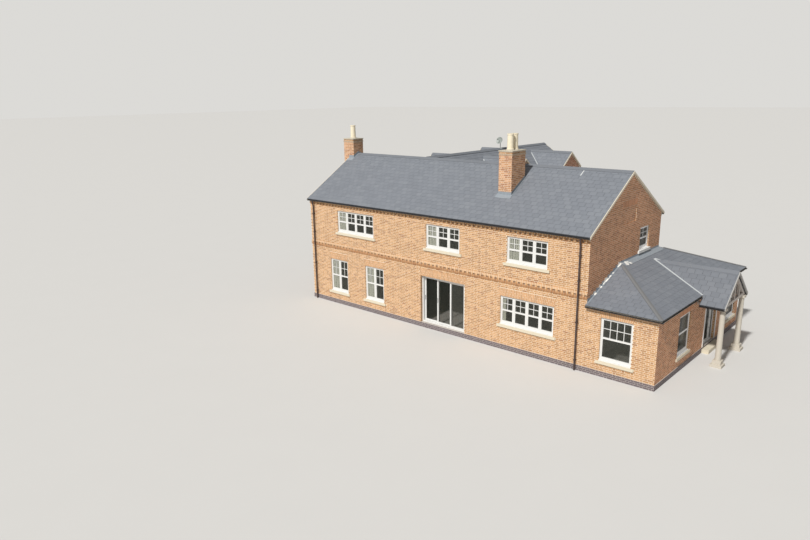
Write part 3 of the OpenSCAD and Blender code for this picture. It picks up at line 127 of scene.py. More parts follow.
class HouseBrickwork(bpy.types.PropertyGroup):
    """Sizes and colours of the bricks and their mortar."""

    joint: length("Joint", "Width of the mortar joints", 0.012)
    sunny: colour("Light brick", "Colour of the lightest bricks", (0.610, 0.356, 0.176))
    warm: colour("Orange brick", "Colour of the orange bricks", (0.503, 0.271, 0.119))
    burnt: colour("Red brick", "Colour of the darkest bricks", (0.38, 0.180, 0.080))
    mortar: colour("Mortar", "Colour of the mortar", (0.90, 0.82, 0.66))
    arch: colour("Arch brick", "Colour of the upright bricks of the arches", (0.565, 0.318, 0.158))
    # Painted shade: the side walls' tint gives their bricks the redder look of brick in shade.
    gable: colour("Gable tint", "Tint of the bricks of the side walls", (1.03, 0.88, 0.95))
    stack: colour("Stack tint", "Tint of the bricks of the stacks", (1.06, 1.01, 1.12))
    wing: colour("Wing tint", "Tint of the bricks of the wing's sides and gablets", (0.80, 0.60, 0.68))
    plinth: colour("Plinth brick", "Colour of the plinth's bricks", (0.10, 0.09, 0.115))


class HouseSlates(bpy.types.PropertyGroup):
    """Sizes and colours of the slates."""

    width: length("Width", "Width of one slate", 0.300)
    gauge: length("Gauge", "Visible height of one course", 0.230)
    thick: length("Thickness", "Thickness of a slate's tail", 0.007)
    face: colour("Slate", "Colour of the slates", (0.190, 0.206, 0.234))
    pale: colour("Pale slate", "Colour of the palest slates", (0.212, 0.228, 0.255))
    edge: colour("Ridge tile", "Colour of the ridge tiles", (0.165, 0.178, 0.200))
    hip: colour("Hip tile", "Colour of the hip tiles", (0.180, 0.180, 0.178))


class HouseJoinery(bpy.types.PropertyGroup):
    """Sizes and colours of the windows, doors and metalwork."""

    bar: length("Glazing bar", "Width of a glazing bar", 0.022)
    frame: colour("Frames", "Colour of the window frames", (0.74, 0.74, 0.72))
    stone: colour("Stone", "Colour of the sills", (0.70, 0.63, 0.49))
    timber: colour("Timber", "Colour of the porch's timbers", (0.56, 0.51, 0.47))
    clay: colour("Pots", "Colour of the chimney pots", (0.84, 0.75, 0.57))
    lead: colour("Lead", "Colour of the lead sheet", (0.33, 0.37, 0.41))
    cloth: colour("Curtains", "Colour of the curtains", (0.74, 0.75, 0.64))
    column: colour("Columns", "Colour of the porch's columns", (0.57, 0.525, 0.45))
    barge: colour("Barge edge", "Colour of the edges of the porch's slates", (0.44, 0.43, 0.41))
    cement: colour("Cement", "Colour of the cement caps and pointing", (0.72, 0.65, 0.52))


class HouseStage(bpy.types.PropertyGroup):
    """Light and floor of the studio."""

    sun: strength("Key light", "Strength of the key light", 3.75)
    fill: strength("Fill light", "Strength of the soft light all round", 0.30)
    floor: colour("Floor", "Colour of the floor", (0.62, 0.615, 0.60))
    back: colour("Background", "Colour behind the object", (0.715, 0.705, 0.68))


def given(group):
    """The scene's settings of one group."""
    return getattr(bpy.context.scene, "house_" + group)


def maths_operator(operation, reflected=False):
    """An operator of Wire as a Math node, its values the other way round where it is reflected."""
    def act(wire, other):
        return wire.maths(operation, *((other, wire) if reflected else (wire, other)))
    return act


class Wire:
    """A shader socket that takes part in Python expressions."""

    __add__ = maths_operator("ADD")
    __radd__ = maths_operator("ADD", True)
    __sub__ = maths_operator("SUBTRACT")
    __rsub__ = maths_operator("SUBTRACT", True)
    __mul__ = maths_operator("MULTIPLY")
    __rmul__ = maths_operator("MULTIPLY", True)
    __truediv__ = maths_operator("DIVIDE")
    __rtruediv__ = maths_operator("DIVIDE", True)
    __gt__ = maths_operator("GREATER_THAN")
    __lt__ = maths_operator("LESS_THAN")

    def __init__(self, paint, socket):
        self.paint = paint
        self.socket = socket

    def maths(self, operation, *values):
        """A Math node on these values."""
        return self.paint.wire("ShaderNodeMath", {"operation": operation}, dict(enumerate(values)))

    def floor(self):
        return self.maths("FLOOR", self)

    def fract(self):
        return self.maths("FRACT", self)

    def parity(self):
        return (self * 0.5).fract() * 2.0

    def clamp(self):
        return self.maths("MINIMUM", self.maths("MAXIMUM", self, 0.0), 1.0)

    def between(self, low, high):
        """A mask that is on between two values."""
        return (self > low) * (self < high)


class Paint:
    """A material under construction: its tree, and one method that adds any node."""

    def __init__(self, name):
        self.material = bpy.data.materials.new(name)
        self.material.use_nodes = True
        self.tree = self.material.node_tree
        self.tree.nodes.clear()
        self.shader = self.tree.nodes.new("ShaderNodeBsdfPrincipled")
        out = self.tree.nodes.new("ShaderNodeOutputMaterial")
        self.tree.links.new(self.shader.outputs[0], out.inputs[0])

    def node(self, kind, settings, inputs):
        """Adds a node, its settings first, then the values or links of its sockets."""
        made = self.tree.nodes.new(kind)
        for key, value in settings.items():
            if key == "stops":
                ramp = made.color_ramp
                for place, (at, shade) in enumerate(value):
                    stop = ramp.elements[place] if place < 2 else ramp.elements.new(at)
                    stop.position = at
                    stop.color = (*shade, 1.0)
            else:
                setattr(made, key, value)
        for key, value in inputs.items():
            self.put(made.inputs[key], value)
        return made

    def put(self, socket, value):
        """Sets a socket to a value, or links a wire to it."""
        if isinstance(value, Wire):
            self.tree.links.new(value.socket, socket)
        elif hasattr(value, "__len__") and socket.type == "RGBA" and len(value) == 3:
            socket.default_value = (*value, 1.0)
        else:
            socket.default_value = value

    def wire(self, kind, settings, inputs, output=0):
        return Wire(self, self.node(kind, settings, inputs).outputs[output])

    def place(self):
        """Object coordinates as three wires."""
        at = self.wire("ShaderNodeTexCoord", {}, {}, "Object")
        parts = self.node("ShaderNodeSeparateXYZ", {}, {0: at})
        return at, [Wire(self, parts.outputs[i]) for i in range(3)]

    def noise(self, at, scale, detail=3.0, rough=0.55, stretch=None):
        """Soft noise at a scale in patches a metre."""
        if stretch:
            at = self.wire("ShaderNodeMapping", {}, {"Vector": at, "Scale": stretch})
        return self.wire("ShaderNodeTexNoise", {},
                         {"Vector": at, "Scale": scale, "Detail": detail, "Roughness": rough})

    def chance(self, x, y, z=0.0):
        """A fixed random number for each whole x, y, z."""
        at = self.wire("ShaderNodeCombineXYZ", {}, {0: x, 1: y, 2: z})
        return self.wire("ShaderNodeTexWhiteNoise", {"noise_dimensions": "3D"}, {"Vector": at}, "Value")

    def tone(self):
        """The random tone that is stored with each brick or slate."""
        return self.wire("ShaderNodeAttribute", {"attribute_name": "tone"}, {}, "Fac")

    def mix(self, factor, first, second, blend="MIX"):
        return self.wire("ShaderNodeMix", {"data_type": "RGBA", "blend_type": blend},
                         {0: factor, 6: first, 7: second}, 2)

    def mottle(self, grain, shade, low, high=1.0):
        """A shade between a darker and a lighter share of itself."""
        return self.mix(grain, dim(shade, low), dim(shade, high))

    def ramp(self, factor, stops):
        return self.wire("ShaderNodeValToRGB", {"stops": stops}, {0: factor})

    def bump(self, height, distance, strength=1.0):
        return self.wire("ShaderNodeBump", {},
                         {"Strength": strength, "Distance": distance, "Height": height})

    def finish(self, base, roughness, normal=None, **plain):
        """Feeds the shader and gives the material."""
        self.put(self.shader.inputs["Base Color"], base)
        self.put(self.shader.inputs["Roughness"], roughness)
        if normal:
            self.put(self.shader.inputs["Normal"], normal)
        for key, value in plain.items():
            self.put(self.shader.inputs[key.replace("_", " ")], value)
        return self.material


def begin(name, *grain):
    """A paint with its coordinates and its finest noise."""
    p = Paint(name)
    at, axes = p.place()
    return p, at, axes, p.noise(at, *grain)


def dim(shade, by):
    return tuple(v * by for v in shade)


def either(masks):
    """A mask that is on wherever any of the masks is on."""
    total = masks[0]
    for mask in masks[1:]:
        total = total + mask
    return total.clamp()


def brick_tones(p, tone, settings):
    """Colour of a brick from its random tone."""
    return p.ramp(tone, [(0.0, settings.burnt), (0.16, dim(settings.warm, 0.86)), (0.4, settings.warm),
                         (1.0, dim(settings.sunny, 1.05))])


def bond(p, axes, joint):
    """Mask of the bricks of a stretcher bond within their joints, and a random tone for each."""
    x, y, z = axes
    course = (z - COURSE_BASE) / COURSE
    row = course.floor()
    along = (x + y) / STRETCHER + row.parity() * 0.5
    inside = [part.fract().between(joint / module / 2, 1.0 - joint / module / 2)
              for part, module in ((along, STRETCHER), (course, COURSE))]
    return inside[0] * inside[1], p.chance(along.floor(), row)


def weather(p, at, base):
    """Long soft stains that run down a wall."""
    streaks = p.noise(at, 1.3, 4.0, 0.6, (1.0, 1.0, 0.25))
    patches = p.noise(at, 0.45, 2.0)
    dark = ((streaks - 0.5) * 0.7 + (patches - 0.5) * 0.5 + 0.5).clamp()
    return p.mix(dark * 0.16, base, (0.46, 0.28, 0.16))


def inside_rooms(x, y, z):
    """Mask of the rooms' side of the walls, from the boxes of the main block, wing and annex."""
    m = measure()
    boxes = [(m.left + SKIN, m.right - SKIN, m.front + SKIN, m.rear - SKIN, m.eaves_z),
             (m.wing_left + SKIN, m.wing_right - SKIN, m.rear - WALL, m.wing_back - SKIN, m.eaves_z),
             (m.right - WALL, m.annex_x - SKIN, m.front + SKIN, m.annex_y - SKIN, m.annex_wall_z),
             (m.wing_right - WALL, m.annex_x - SKIN, m.rear - WALL, m.annex_y - SKIN, m.annex_wall_z)]
    return either([x.between(x0, x1) * y.between(y0, y1) * (z < top) for x0, x1, y0, y1, top in boxes])


def outer_faces(x, y):
    """Mask of the outer faces of the walls, where the laid bricks stand on their mortar."""
    m = measure()
    levels = [(x, at) for at in (m.left, m.right, m.right - PANEL_DEEP, m.annex_x, m.wing_left,
                                 m.wing_right)]
    levels += [(y, at) for at in (m.front, m.rear, m.annex_y, m.wing_back)]
    return either([axis.between(at - FACE, at + FACE) for axis, at in levels])


@functools.cache
def brickwork():
    """Mortar behind the laid bricks, courses drawn on the reveals, painted shade in the gaps of the dentils
    of the string course and of the eaves, and plaster inside.
    """
    settings = given("brickwork")
    m = measure()
    p, at, (x, y, z), grain = begin("brickwork", 60.0, 4.0)
    inside, tone = bond(p, (x, y, z), settings.joint)
    face = p.mix((grain - 0.3).clamp() * 0.5, brick_tones(p, tone, settings), dim(settings.warm, 0.8))
    inside = inside * (1.0 - outer_faces(x, y))
    shade = p.mix(inside, p.mottle(grain, settings.mortar, 0.9), face)
    low, high, course = m.string_z()
    reach = 0.002
    in_front = y < m.front + reach
    # Painted shade: the wall's face in the dentils' gaps of the string course and under the eaves is
    # darkened.
    gap = z.between(low + course, high - course) * either([in_front, y > m.rear - reach])
    under_eaves_shade = (z > m.eaves_z - 0.195) * either([in_front, y.between(m.rear - reach, m.rear + reach)])
    shade = p.mix(either([gap, under_eaves_shade]), shade, (0.30, 0.19, 0.12))
    shade = weather(p, at, shade)
    plaster = inside_rooms(x, y, z)
    shade = p.mix(plaster, shade, p.mix(grain, (0.66, 0.64, 0.58), (0.74, 0.72, 0.67)))
    return p.finish(shade, 0.88, p.bump(inside * (1.0 - plaster) + grain * 0.25, 0.004))


def band_finish():
    """String course, dentils and the backs of the arches: pale top, painted shade in the dentils' gaps and
    on the lowest course.
    """
    settings = given("brickwork")
    m = measure()
    p, _, (x, y, z), grain = begin("band_brick", 55.0, 4.0)
    header = (x + y) / HEADER
    tone = p.chance(header.floor(), ((z - COURSE_BASE) / COURSE).floor())
    joint = header.fract() < 0.09
    base = p.mix(joint, brick_tones(p, tone, settings), settings.mortar)
    low, high, course = m.string_z()
    base = p.mix(z.between(high - course, high + 0.001) * 0.4, base, (0.78, 0.58, 0.40))
    # Painted shade: the lowest course is darkened towards the red brick's colour, for the shadow under the
    # band.
    base = p.mix(z.between(low - 0.001, low + course) * 0.7, base, dim(settings.burnt, 0.95))
    # Painted shade in the recesses between the dentils.
    gap = either([deep.between(0.0, 0.05) * z.between(low + course, high - course)
                  for deep in (y - (m.front - 0.012), (m.rear + 0.012) - y)])
    base = p.mix(gap * 0.7, base, (0.14, 0.085, 0.055))
    flat = outer_faces(x, y) * (1.0 - z.between(low - 0.002, high + 0.002))
    base = p.mix(flat, base, p.mottle(grain, settings.mortar, 0.9))
    return p.finish(base, 0.9, p.bump(grain - joint * 0.5, 0.003))


@functools.cache
def brick_face(name="brick_face", tint=None, rough=0.85, cast=None, burnt=0.0):
    """Face of single laid bricks, each of its own tone, a share of them burnt."""
    settings = given("brickwork")
    p, at, _, grain = begin(name, 70.0, 5.0, 0.6)
    if tint:
        shade = getattr(settings, tint)
        base = p.ramp(p.tone(), [(0.0, dim(shade, 0.84)), (0.5, shade), (1.0, dim(shade, 1.14))])
    else:
        base = brick_tones(p, (p.tone() - burnt) / (1.0 - burnt), settings)
    base = p.mix((grain - 0.35).clamp() * 0.6, base, p.mix(0.5, base, (0.30, 0.17, 0.11)))
    base = weather(p, at, base)
    # The cast multiplies the bricks by a tint; the side walls' gable tint is painted shade.
    if cast:
        base = p.mix(1.0, base, getattr(settings, cast), "MULTIPLY")
    return p.finish(base, rough, p.bump(grain, 0.003, 0.7))


@functools.cache
def slate_face(name="slate_face", share=1.0):
    """Riven slate with a tone for each slate and patches over the slope."""
    settings = given("slates")
    p, at, _, grain = begin(name, 22.0, 6.0, 0.65)
    patch = p.noise(at, 0.8, 3.0)
    face = dim(settings.face, share)
    pale = dim(settings.pale, share)
    base = p.ramp(p.tone(), [(0.0, dim(face, 0.94)), (0.5, face), (1.0, dim(pale, 0.98))])
    base = p.mix((grain - 0.35).clamp() * 0.5, base, pale)
    base = p.mix((patch - 0.4).clamp() * 0.5, base, dim(face, 0.84))
    return p.finish(base, 0.50 + grain * 0.25, p.bump(grain, 0.004, 0.6))


@functools.cache
def slate_deck(name="slate_deck", eaves_z=None):
    """Dark battens and felt under and between the slates, with pale boards below the eaves' edge."""
    p, _, (x, y, z), grain = begin(name, 14.0, 4.0)
    base = p.mottle(grain, given("slates").face, 0.12, 0.3)
    if eaves_z:
        base = p.mix(z < eaves_z, base, p.mottle(grain, given("joinery").cement, 0.7, 0.85))
    return p.finish(base, 0.85, p.bump(grain, 0.003, 0.5))


def plain_finish(name, shade, roughness, scale, spread=0.14, depth=0.001, stretch=None):
    """A finish of one colour with mottling and a fine surface."""
    p, at, _, grain = begin(name, scale, 5.0, 0.6, stretch)
    patch = p.noise(at, scale * 0.12, 3.0)
    base = p.mottle(grain, shade, 1.0 - spread, 1.0 + spread * 0.6)
    base = p.mix((patch - 0.45).clamp() * 0.8, base, dim(shade, 0.8))
    return p.finish(base, roughness, p.bump(grain, depth, 0.6))


@functools.cache
def lead_finish():
    """Lead sheet: dull on the flats, bright in the valleys, darkened beside the middle stack as painted
    shade, with splashes of mortar at the gable.
    """
    shade = given("joinery").lead
    m = measure()
    p, at, (x, y, z), grain = begin("lead_sheet", 12.0, 5.0, 0.6)
    spots = p.noise(at, 5.0, 3.0, 0.5)
    valley = ((x > m.right + 0.30) + (y > 0.3) * (z > m.eaves_z)).clamp()
    base = p.mix(valley, p.mottle(grain, shade, 0.62),
                 p.mix(grain, (0.50, 0.54, 0.56), (0.66, 0.68, 0.68)))
    lo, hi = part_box("middle_chimney")
    beside = (z > m.eaves_z) * (y > lo.y + 2 * CAP_OUT) * (y < 0.3) * (x > lo.x - 0.3)
    # Painted shade: the lead beside the middle stack is darkened.
    base = p.mix(beside, base, dim(shade, 0.55))
    base = p.mix(beside * (x > hi.x + 0.3), base, (0.62, 0.64, 0.64))
    splash = (x > m.right) * (y < m.hip_y + 0.55) * (spots > 0.56) * (z < m.annex_top + 0.1)
    base = p.mix(splash, base, (0.78, 0.77, 0.73))
    return p.finish(base, 0.5, p.bump(grain, 0.002, 0.6))


def sill_finish():
    """Cast stone sills, the one over the annex painted white."""
    joinery = given("joinery")
    m = measure()
    p, _, (x, y, z), grain = begin("sill_stone", 28.0, 5.0, 0.6)
    painted = z.between(m.annex_top, m.annex_top + 0.25) * (x > m.right - 0.2)
    base = p.mix(painted, p.mottle(grain, joinery.stone, 0.88), joinery.frame)
    return p.finish(base, 0.8, p.bump(grain, 0.002, 0.5))


def tiles_finish():
    """Ridge and hip tiles with a joint at every tile."""
    slates = given("slates")
    m = measure()
    p, _, (x, y, z), grain = begin("ridge_tile", 30.0, 4.0)
    tile = (x + y) / 0.45
    joint = tile.fract() < 0.03
    base = p.mix(p.chance(tile.floor(), 3.0) * 0.5, slates.edge, dim(slates.edge, 1.2))
    base = p.mix(grain * 0.4, base, dim(slates.edge, 0.75))
    base = p.mix(joint * 0.4, base, (0.30, 0.30, 0.29))
    hip = (x > m.right) * (z < m.annex_top + 0.03) * either([y < m.hip_y + 0.1, y > m.rear - 0.1])
    base = p.mix(hip * 0.75, base, slates.hip)
    return p.finish(base, 0.75, p.bump(1.0 - joint + grain * 0.2, 0.004))


@functools.cache
def frame_finish():
    """White paint, with painted light: brighter on the side walls, which stand in shade."""
    m = measure()
    p, _, (x, y, z), grain = begin("white_frame", 20.0, 5.0, 0.6)
    # Painted light: frames on the shaded side walls get a brighter white.
    side = either([x > m.annex_x - 0.15, x.between(m.right - 0.15, m.right + 0.1) * (z > m.annex_top)])
    base = p.mix(side, p.mottle(grain, given("joinery").frame, 0.95), (0.90, 0.90, 0.89))
    return p.finish(base, 0.35, p.bump(grain, 0.0004, 0.6))


def timber_finish():
    """Weathered oak with its grain along the posts and beams."""
    p, at, _, grain = begin("weathered_oak", 26.0, 6.0, 0.7, (0.25, 0.25, 1.0))
    base = p.mottle(grain, given("joinery").timber, 0.6, 1.45)
    base = p.mix((p.noise(at, 2.5, 3.0) - 0.4).clamp(), base, (0.36, 0.33, 0.29))
    return p.finish(base, 0.82, p.bump(grain, 0.004))


def chimney_finish(node):
    """Brick stack with its cement cap and pale course picked out by height."""
    settings = given("brickwork")
    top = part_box(node)[1].z - FLAUNCH
    p, _, (x, y, z), grain = begin(node + "_brick", 50.0, 4.0)
    inside, tone = bond(p, (x, y, z), settings.joint)
    inside = inside * (z > top - HEAD)
    base = p.mix(inside, p.mottle(grain, settings.mortar, 0.8), brick_tones(p, tone, settings))
    cap = z > top - 0.041
    pale = (cap + z.between(top - HEAD, top - 0.112) * 0.45).clamp()
    base = p.mix(pale, base, p.mottle(grain, given("joinery").cement, 0.6, 0.85))
    soot = (z - (top - 1.0)).clamp() * 0.22
    base = p.mix(soot * (1.0 - cap), base, (0.20, 0.13, 0.09))
    return p.finish(base, 0.9, p.bump(inside * (1.0 - cap) + grain * 0.3, 0.004))


def glass_finish():
    """Clear double glazing: a dark room behind a bright reflection."""
    p, _, _, wave = begin("window_pane", 1.6, 2.0)
    return p.finish(p.mix(wave, (0.046, 0.050, 0.040), (0.084, 0.086, 0.070)), 0.03,
                    p.bump(wave, 0.002, 0.15), Alpha=0.32, IOR=1.52)


def door_finish(name, shade, pane, pull=None):
    """White door whose pane, given by its axis and edges, is glass in the same solid, with a dark pull."""
    axis, lo, hi, bottom, top = pane
    p, at, axes, grain = begin(name, 40.0, 3.0)
    glass = axes[axis].between(lo, hi) * axes[2].between(bottom, top)
    wave = p.noise(at, 1.6, 2.0)
    base = p.mix(glass, p.mottle(grain, shade, 0.94),
                 p.mix(wave, (0.010, 0.013, 0.009), (0.030, 0.036, 0.026)))
    if pull is not None:
        base = p.mix(axes[1] < pull, base, (0.020, 0.022, 0.026))
    return p.finish(base, 0.42 - glass * 0.39, None, Alpha=1.0 - glass * 0.75)


def metal_finish(name, shade, roughness, metallic=0.0):
    """Painted or plastic metalwork, slightly dusty."""
    p, _, _, dust = begin(name, 9.0, 4.0)
    base = p.mix((dust - 0.35).clamp() * 0.5, shade, dim((0.30, 0.28, 0.25), 0.7))
    return p.finish(base, roughness + dust * 0.12, p.bump(dust, 0.001, 0.4), Metallic=metallic)


def boards_finish():
    """Floor boards along the house."""
    p, _, (x, y, z), grain = begin("floor_boards", 18.0, 6.0, 0.6, (0.12, 1.0, 1.0))
    board = y / 0.145
    tone = p.chance(board.floor(), (x / 2.4).floor())
    gap = board.fract() < 0.03
    base = p.mix(tone * 0.5 + grain * 0.5, (0.30, 0.19, 0.10), (0.52, 0.37, 0.22))
    base = p.mix(gap, base, (0.08, 0.05, 0.03))
    return p.finish(base, 0.55, p.bump(grain - gap, 0.002, 0.5))


@functools.cache
def islands(node):
    """Boxes of a node's separate solids, each with its own corners."""
    mesh = frame["nodes"][node].data
    keys = {}
    parent = []

    def find(i):
        while parent[i] != i:
            parent[i] = parent[parent[i]]
            i = parent[i]
        return i

    index = []
    for v in mesh.vertices:
        key = tuple(round(c, 4) for c in v.co)
        if key not in keys:
            keys[key] = len(parent)
            parent.append(len(parent))
        index.append(keys[key])
    for f in mesh.polygons:
        first = find(index[f.vertices[0]])
        for other in f.vertices[1:]:
            parent[find(index[other])] = first
    groups = {}
    for key, i in keys.items():
        groups.setdefault(find(i), []).append(Vector(key))
    made = []
    for points in groups.values():
        lo, hi = (Vector([end(q[i] for q in points) for i in range(3)]) for end in (min, max))
        made.append((lo, hi, points))
    made.sort(key=lambda g: [round(c, 3) for c in (*g[0], *g[1])])
    return made


def ends_at(points, u, z):
    """How far a solid's corners at one height reach along an axis."""
    found = [p[u] for p in points if abs(p[2] - z) < TOUCH]
    return min(found), max(found)


def upright(a, level, along, z):
    """A point of the upright plane across axis a."""
    point = [along, along, z]
    point[a] = level
    return tuple(point)


def cut_rect(rect, hole):
    """A rectangle less a hole, as up to four rectangles."""
    u0, u1, v0, v1 = rect
    a0, a1, b0, b1 = hole
    if a1 <= u0 or a0 >= u1 or b1 <= v0 or b0 >= v1:
        return [rect]
    left = max(u0, a0)
    right = min(u1, a1)
    parts = [(u0, a0, v0, v1), (a1, u1, v0, v1), (left, right, v0, b0), (left, right, b1, v1)]
    return [r for r in parts if r[0] < r[1] and r[2] < r[3]]


def cut_spans(spans, a, b):
    """Spans less the stretch from a to b."""
    made = []
    for s0, s1 in spans:
        whole = b <= s0 or a >= s1
        made += [(s0, s1)] if whole else [(c, d) for c, d in ((s0, a), (b, s1)) if c < d]
    return made


def lay_course(spans, v0, v1, lengths, shift, joint, holes, least=0.02):
    """Pieces of one course between the ends of its spans, less the holes.

    The lengths repeat along the course.
    """
    made = []
    module = sum(lengths)
    for s0, s1 in spans:
        for k in range(math.floor(s0 / module + shift), math.ceil(s1 / module + shift)):
            start = (k - shift) * module
            for part in lengths:
                u0 = max(start + joint / 2, s0)
                u1 = min(start + part - joint / 2, s1)
                start += part
                rects = [(u0, u1, v0, v1)] if u1 - u0 > least else []
                for hole in holes:
                    rects = [r for rect in rects for r in cut_rect(rect, hole)]
                made += [r for r in rects if r[1] - r[0] > least and r[3] - r[2] > least / 2]
    return made


def linked(name, data):
    """An object in the scene."""
    made = bpy.data.objects.new(name, data)
    bpy.context.scene.collection.objects.link(made)
    return made


def on_house(piece):
    """Lets a piece ride the house on its slot."""
    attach(piece, HOUSE)
    return piece


def block_tree():
    """Geometry nodes that set one block on each point, to its size and turn, with a random tone."""
    tree = bpy.data.node_groups.new("laid blocks", "GeometryNodeTree")
    for name, way, kind in (("Geometry", "INPUT", "Geometry"), ("Block", "INPUT", "Vector"),
                            ("Tone seed", "INPUT", "Int"), ("Finish", "INPUT", "Material"),
                            ("Geometry", "OUTPUT", "Geometry")):
        tree.interface.new_socket(name, in_out=way, socket_type="NodeSocket" + kind)

    def add(kind, settings=(), **inputs):
        made = tree.nodes.new(kind)
        for key, value in dict(settings).items():
            setattr(made, key, value)
        for key, value in inputs.items():
            socket = made.inputs[key.replace("_", " ")]
            if isinstance(value, bpy.types.NodeSocket):
                tree.links.new(value, socket)
            else:
                socket.default_value = value
        return made

    group = add("NodeGroupInput").outputs
    block = add("GeometryNodeMeshCube", Size=group["Block"])
    size = add("GeometryNodeInputNamedAttribute", {"data_type": "FLOAT_VECTOR"}, Name="size")
    turn = add("GeometryNodeInputNamedAttribute", {"data_type": "FLOAT_VECTOR"}, Name="turn")
    euler = add("FunctionNodeEulerToRotation", Euler=turn.outputs["Attribute"])
    laid = add("GeometryNodeInstanceOnPoints", Points=group["Geometry"], Instance=block.outputs["Mesh"],
               Rotation=euler.outputs[0], Scale=size.outputs["Attribute"])
    chance = add("FunctionNodeRandomValue", {"data_type": "FLOAT"}, Seed=group["Tone seed"])
    tone = add("GeometryNodeStoreNamedAttribute", {"data_type": "FLOAT", "domain": "INSTANCE"},
               Geometry=laid.outputs[0], Name="tone", Value=chance.outputs[1])
    real = add("GeometryNodeRealizeInstances", Geometry=tone.outputs[0])
    done = add("GeometryNodeSetMaterial", Geometry=real.outputs[0], Material=group["Finish"])
    tree.links.new(done.outputs[0], add("NodeGroupOutput").inputs[0])
    return tree


def lay(name, rule, fields, finish, seed):
    """A piece of small blocks: a rule places them field by field, and the block tree lays them."""
    blocks = []
    for field in fields:
        rule(blocks, *field)
    places, sizes, turns = zip(*blocks)
    points = bpy.data.meshes.new(name + "_points")
    points.from_pydata(places, [], [])
    for layer_name, values in (("size", sizes), ("turn", turns)):
        layer = points.attributes.new(layer_name, "FLOAT_VECTOR", "POINT")
        layer.data.foreach_set("vector", [c for value in values for c in value])
    piece = linked(name, points)
    tree = bpy.data.node_groups.get("laid blocks") or block_tree()
    modifier = piece.modifiers.new("laid blocks", "NODES")
    modifier.node_group = tree
    sockets = {s.name: s.identifier for s in tree.interface.items_tree if s.in_out == "INPUT"}
    modifier[sockets["Block"]] = (1.0, 1.0, 1.0)
    modifier[sockets["Tone seed"]] = seed
    modifier[sockets["Finish"]] = finish
    view = bpy.context.evaluated_depsgraph_get()
    mesh = bpy.data.meshes.new_from_object(piece.evaluated_get(view))
    piece.modifiers.remove(modifier)
    piece.data = mesh
    bpy.data.meshes.remove(points)
    mesh.name = name
    for layer_name in ("size", "turn"):
        if layer_name in mesh.attributes:
            mesh.attributes.remove(mesh.attributes[layer_name])
    return on_house(piece)


def reshaped(mesh, change):
    """Runs a change over a mesh's faces and turns them outwards."""
    built = bmesh.new()
    built.from_mesh(mesh)
    change(built)
    bmesh.ops.recalc_face_normals(built, faces=built.faces)
    built.to_mesh(mesh)
    built.free()


def mesh_piece(name, corners, faces, finish, tones=None, change=lambda built: None):
    """A piece from its corners and faces, turned outwards."""
    mesh = bpy.data.meshes.new(name)
    mesh.from_pydata(corners, [], faces)
    if tones:
        layer = mesh.attributes.new("tone", "FLOAT", "POINT")
        layer.data.foreach_set("value", tones)
    mesh.update()
    reshaped(mesh, change)
    mesh.materials.append(finish)
    return on_house(linked(name, mesh))


def box_faces(first):
    """Faces of a box whose corners, counted along z, then y, then x, start at a number."""
    return [tuple(first + c for c in f) for f in BOX_FACES]


def prism(corners, faces, rings):
    """Adds a solid between two rings of points."""
    first = len(corners)
    sides = len(rings[0])
    corners += rings[0] + rings[1]
    for i in range(sides):
        j = (i + 1) % sides
        faces.append((first + i, first + j, first + sides + j, first + sides + i))
    faces.append(tuple(range(first, first + sides)))
    faces.append(tuple(range(first + sides, first + 2 * sides)))


def wall_holes(a, level, reach=0.16):
    """Openings, sills, bands and arches on a wall's face, in its course coordinates."""
    made = []
    for node in ON_WALLS:
        for lo, hi, points in islands(node):
            if lo[a] - reach < level < hi[a] + reach:
                ends = ends_at(points, 1 - a, lo[2]) + ends_at(points, 1 - a, hi[2])
                made.append([end + level for end in ends] + [lo[2], hi[2]])
    return made


def brick_wall(blocks, a, side, level, ends, bottom, top, shape=None, holes=(), course=COURSE,
               base=COURSE_BASE):
    """Lays the bricks of one wall face: stretchers in courses, cut round whatever is on the wall.

    The courses run along the sum of x and y, so that the bond turns the corners.
    """
    joint = given("brickwork").joint
    turn = (0.0, 0.0, math.radians(HEADING[(a, side)]))
    on_wall = wall_holes(a, level)
    for row in range(math.floor((bottom - base) / course), math.ceil((top - base) / course)):
        v0 = max(base + row * course + joint / 2, bottom)
        v1 = min(base + (row + 1) * course - joint / 2, top)
        if v1 - v0 < joint:
            continue
        spans = [(s0 + level, s1 + level) for s0, s1 in (shape(v0, v1) if shape else [ends])]
        cuts = [(h[0] + level, h[1] + level, h[2], h[3]) for h in holes]
        for low0, low1, high0, high1, z0, z1 in on_wall:
            if z0 < v1 and z1 > v0:
                share = min(max(((v0 + v1) / 2 - z0) / (z1 - z0), 0.0), 1.0)
                cuts.append((low0 + (high0 - low0) * share, low1 + (high1 - low1) * share, z0, z1))
        for u0, u1, w0, w1 in lay_course(spans, v0, v1, (STRETCHER, HEADER), (row % 2) * 0.5, joint,
                                         cuts):
            place = upright(a, level, (u0 + u1) / 2 - level, (w0 + w1) / 2)
            blocks.append((place, (u1 - u0, 2 * PROUD, w1 - w0), turn))


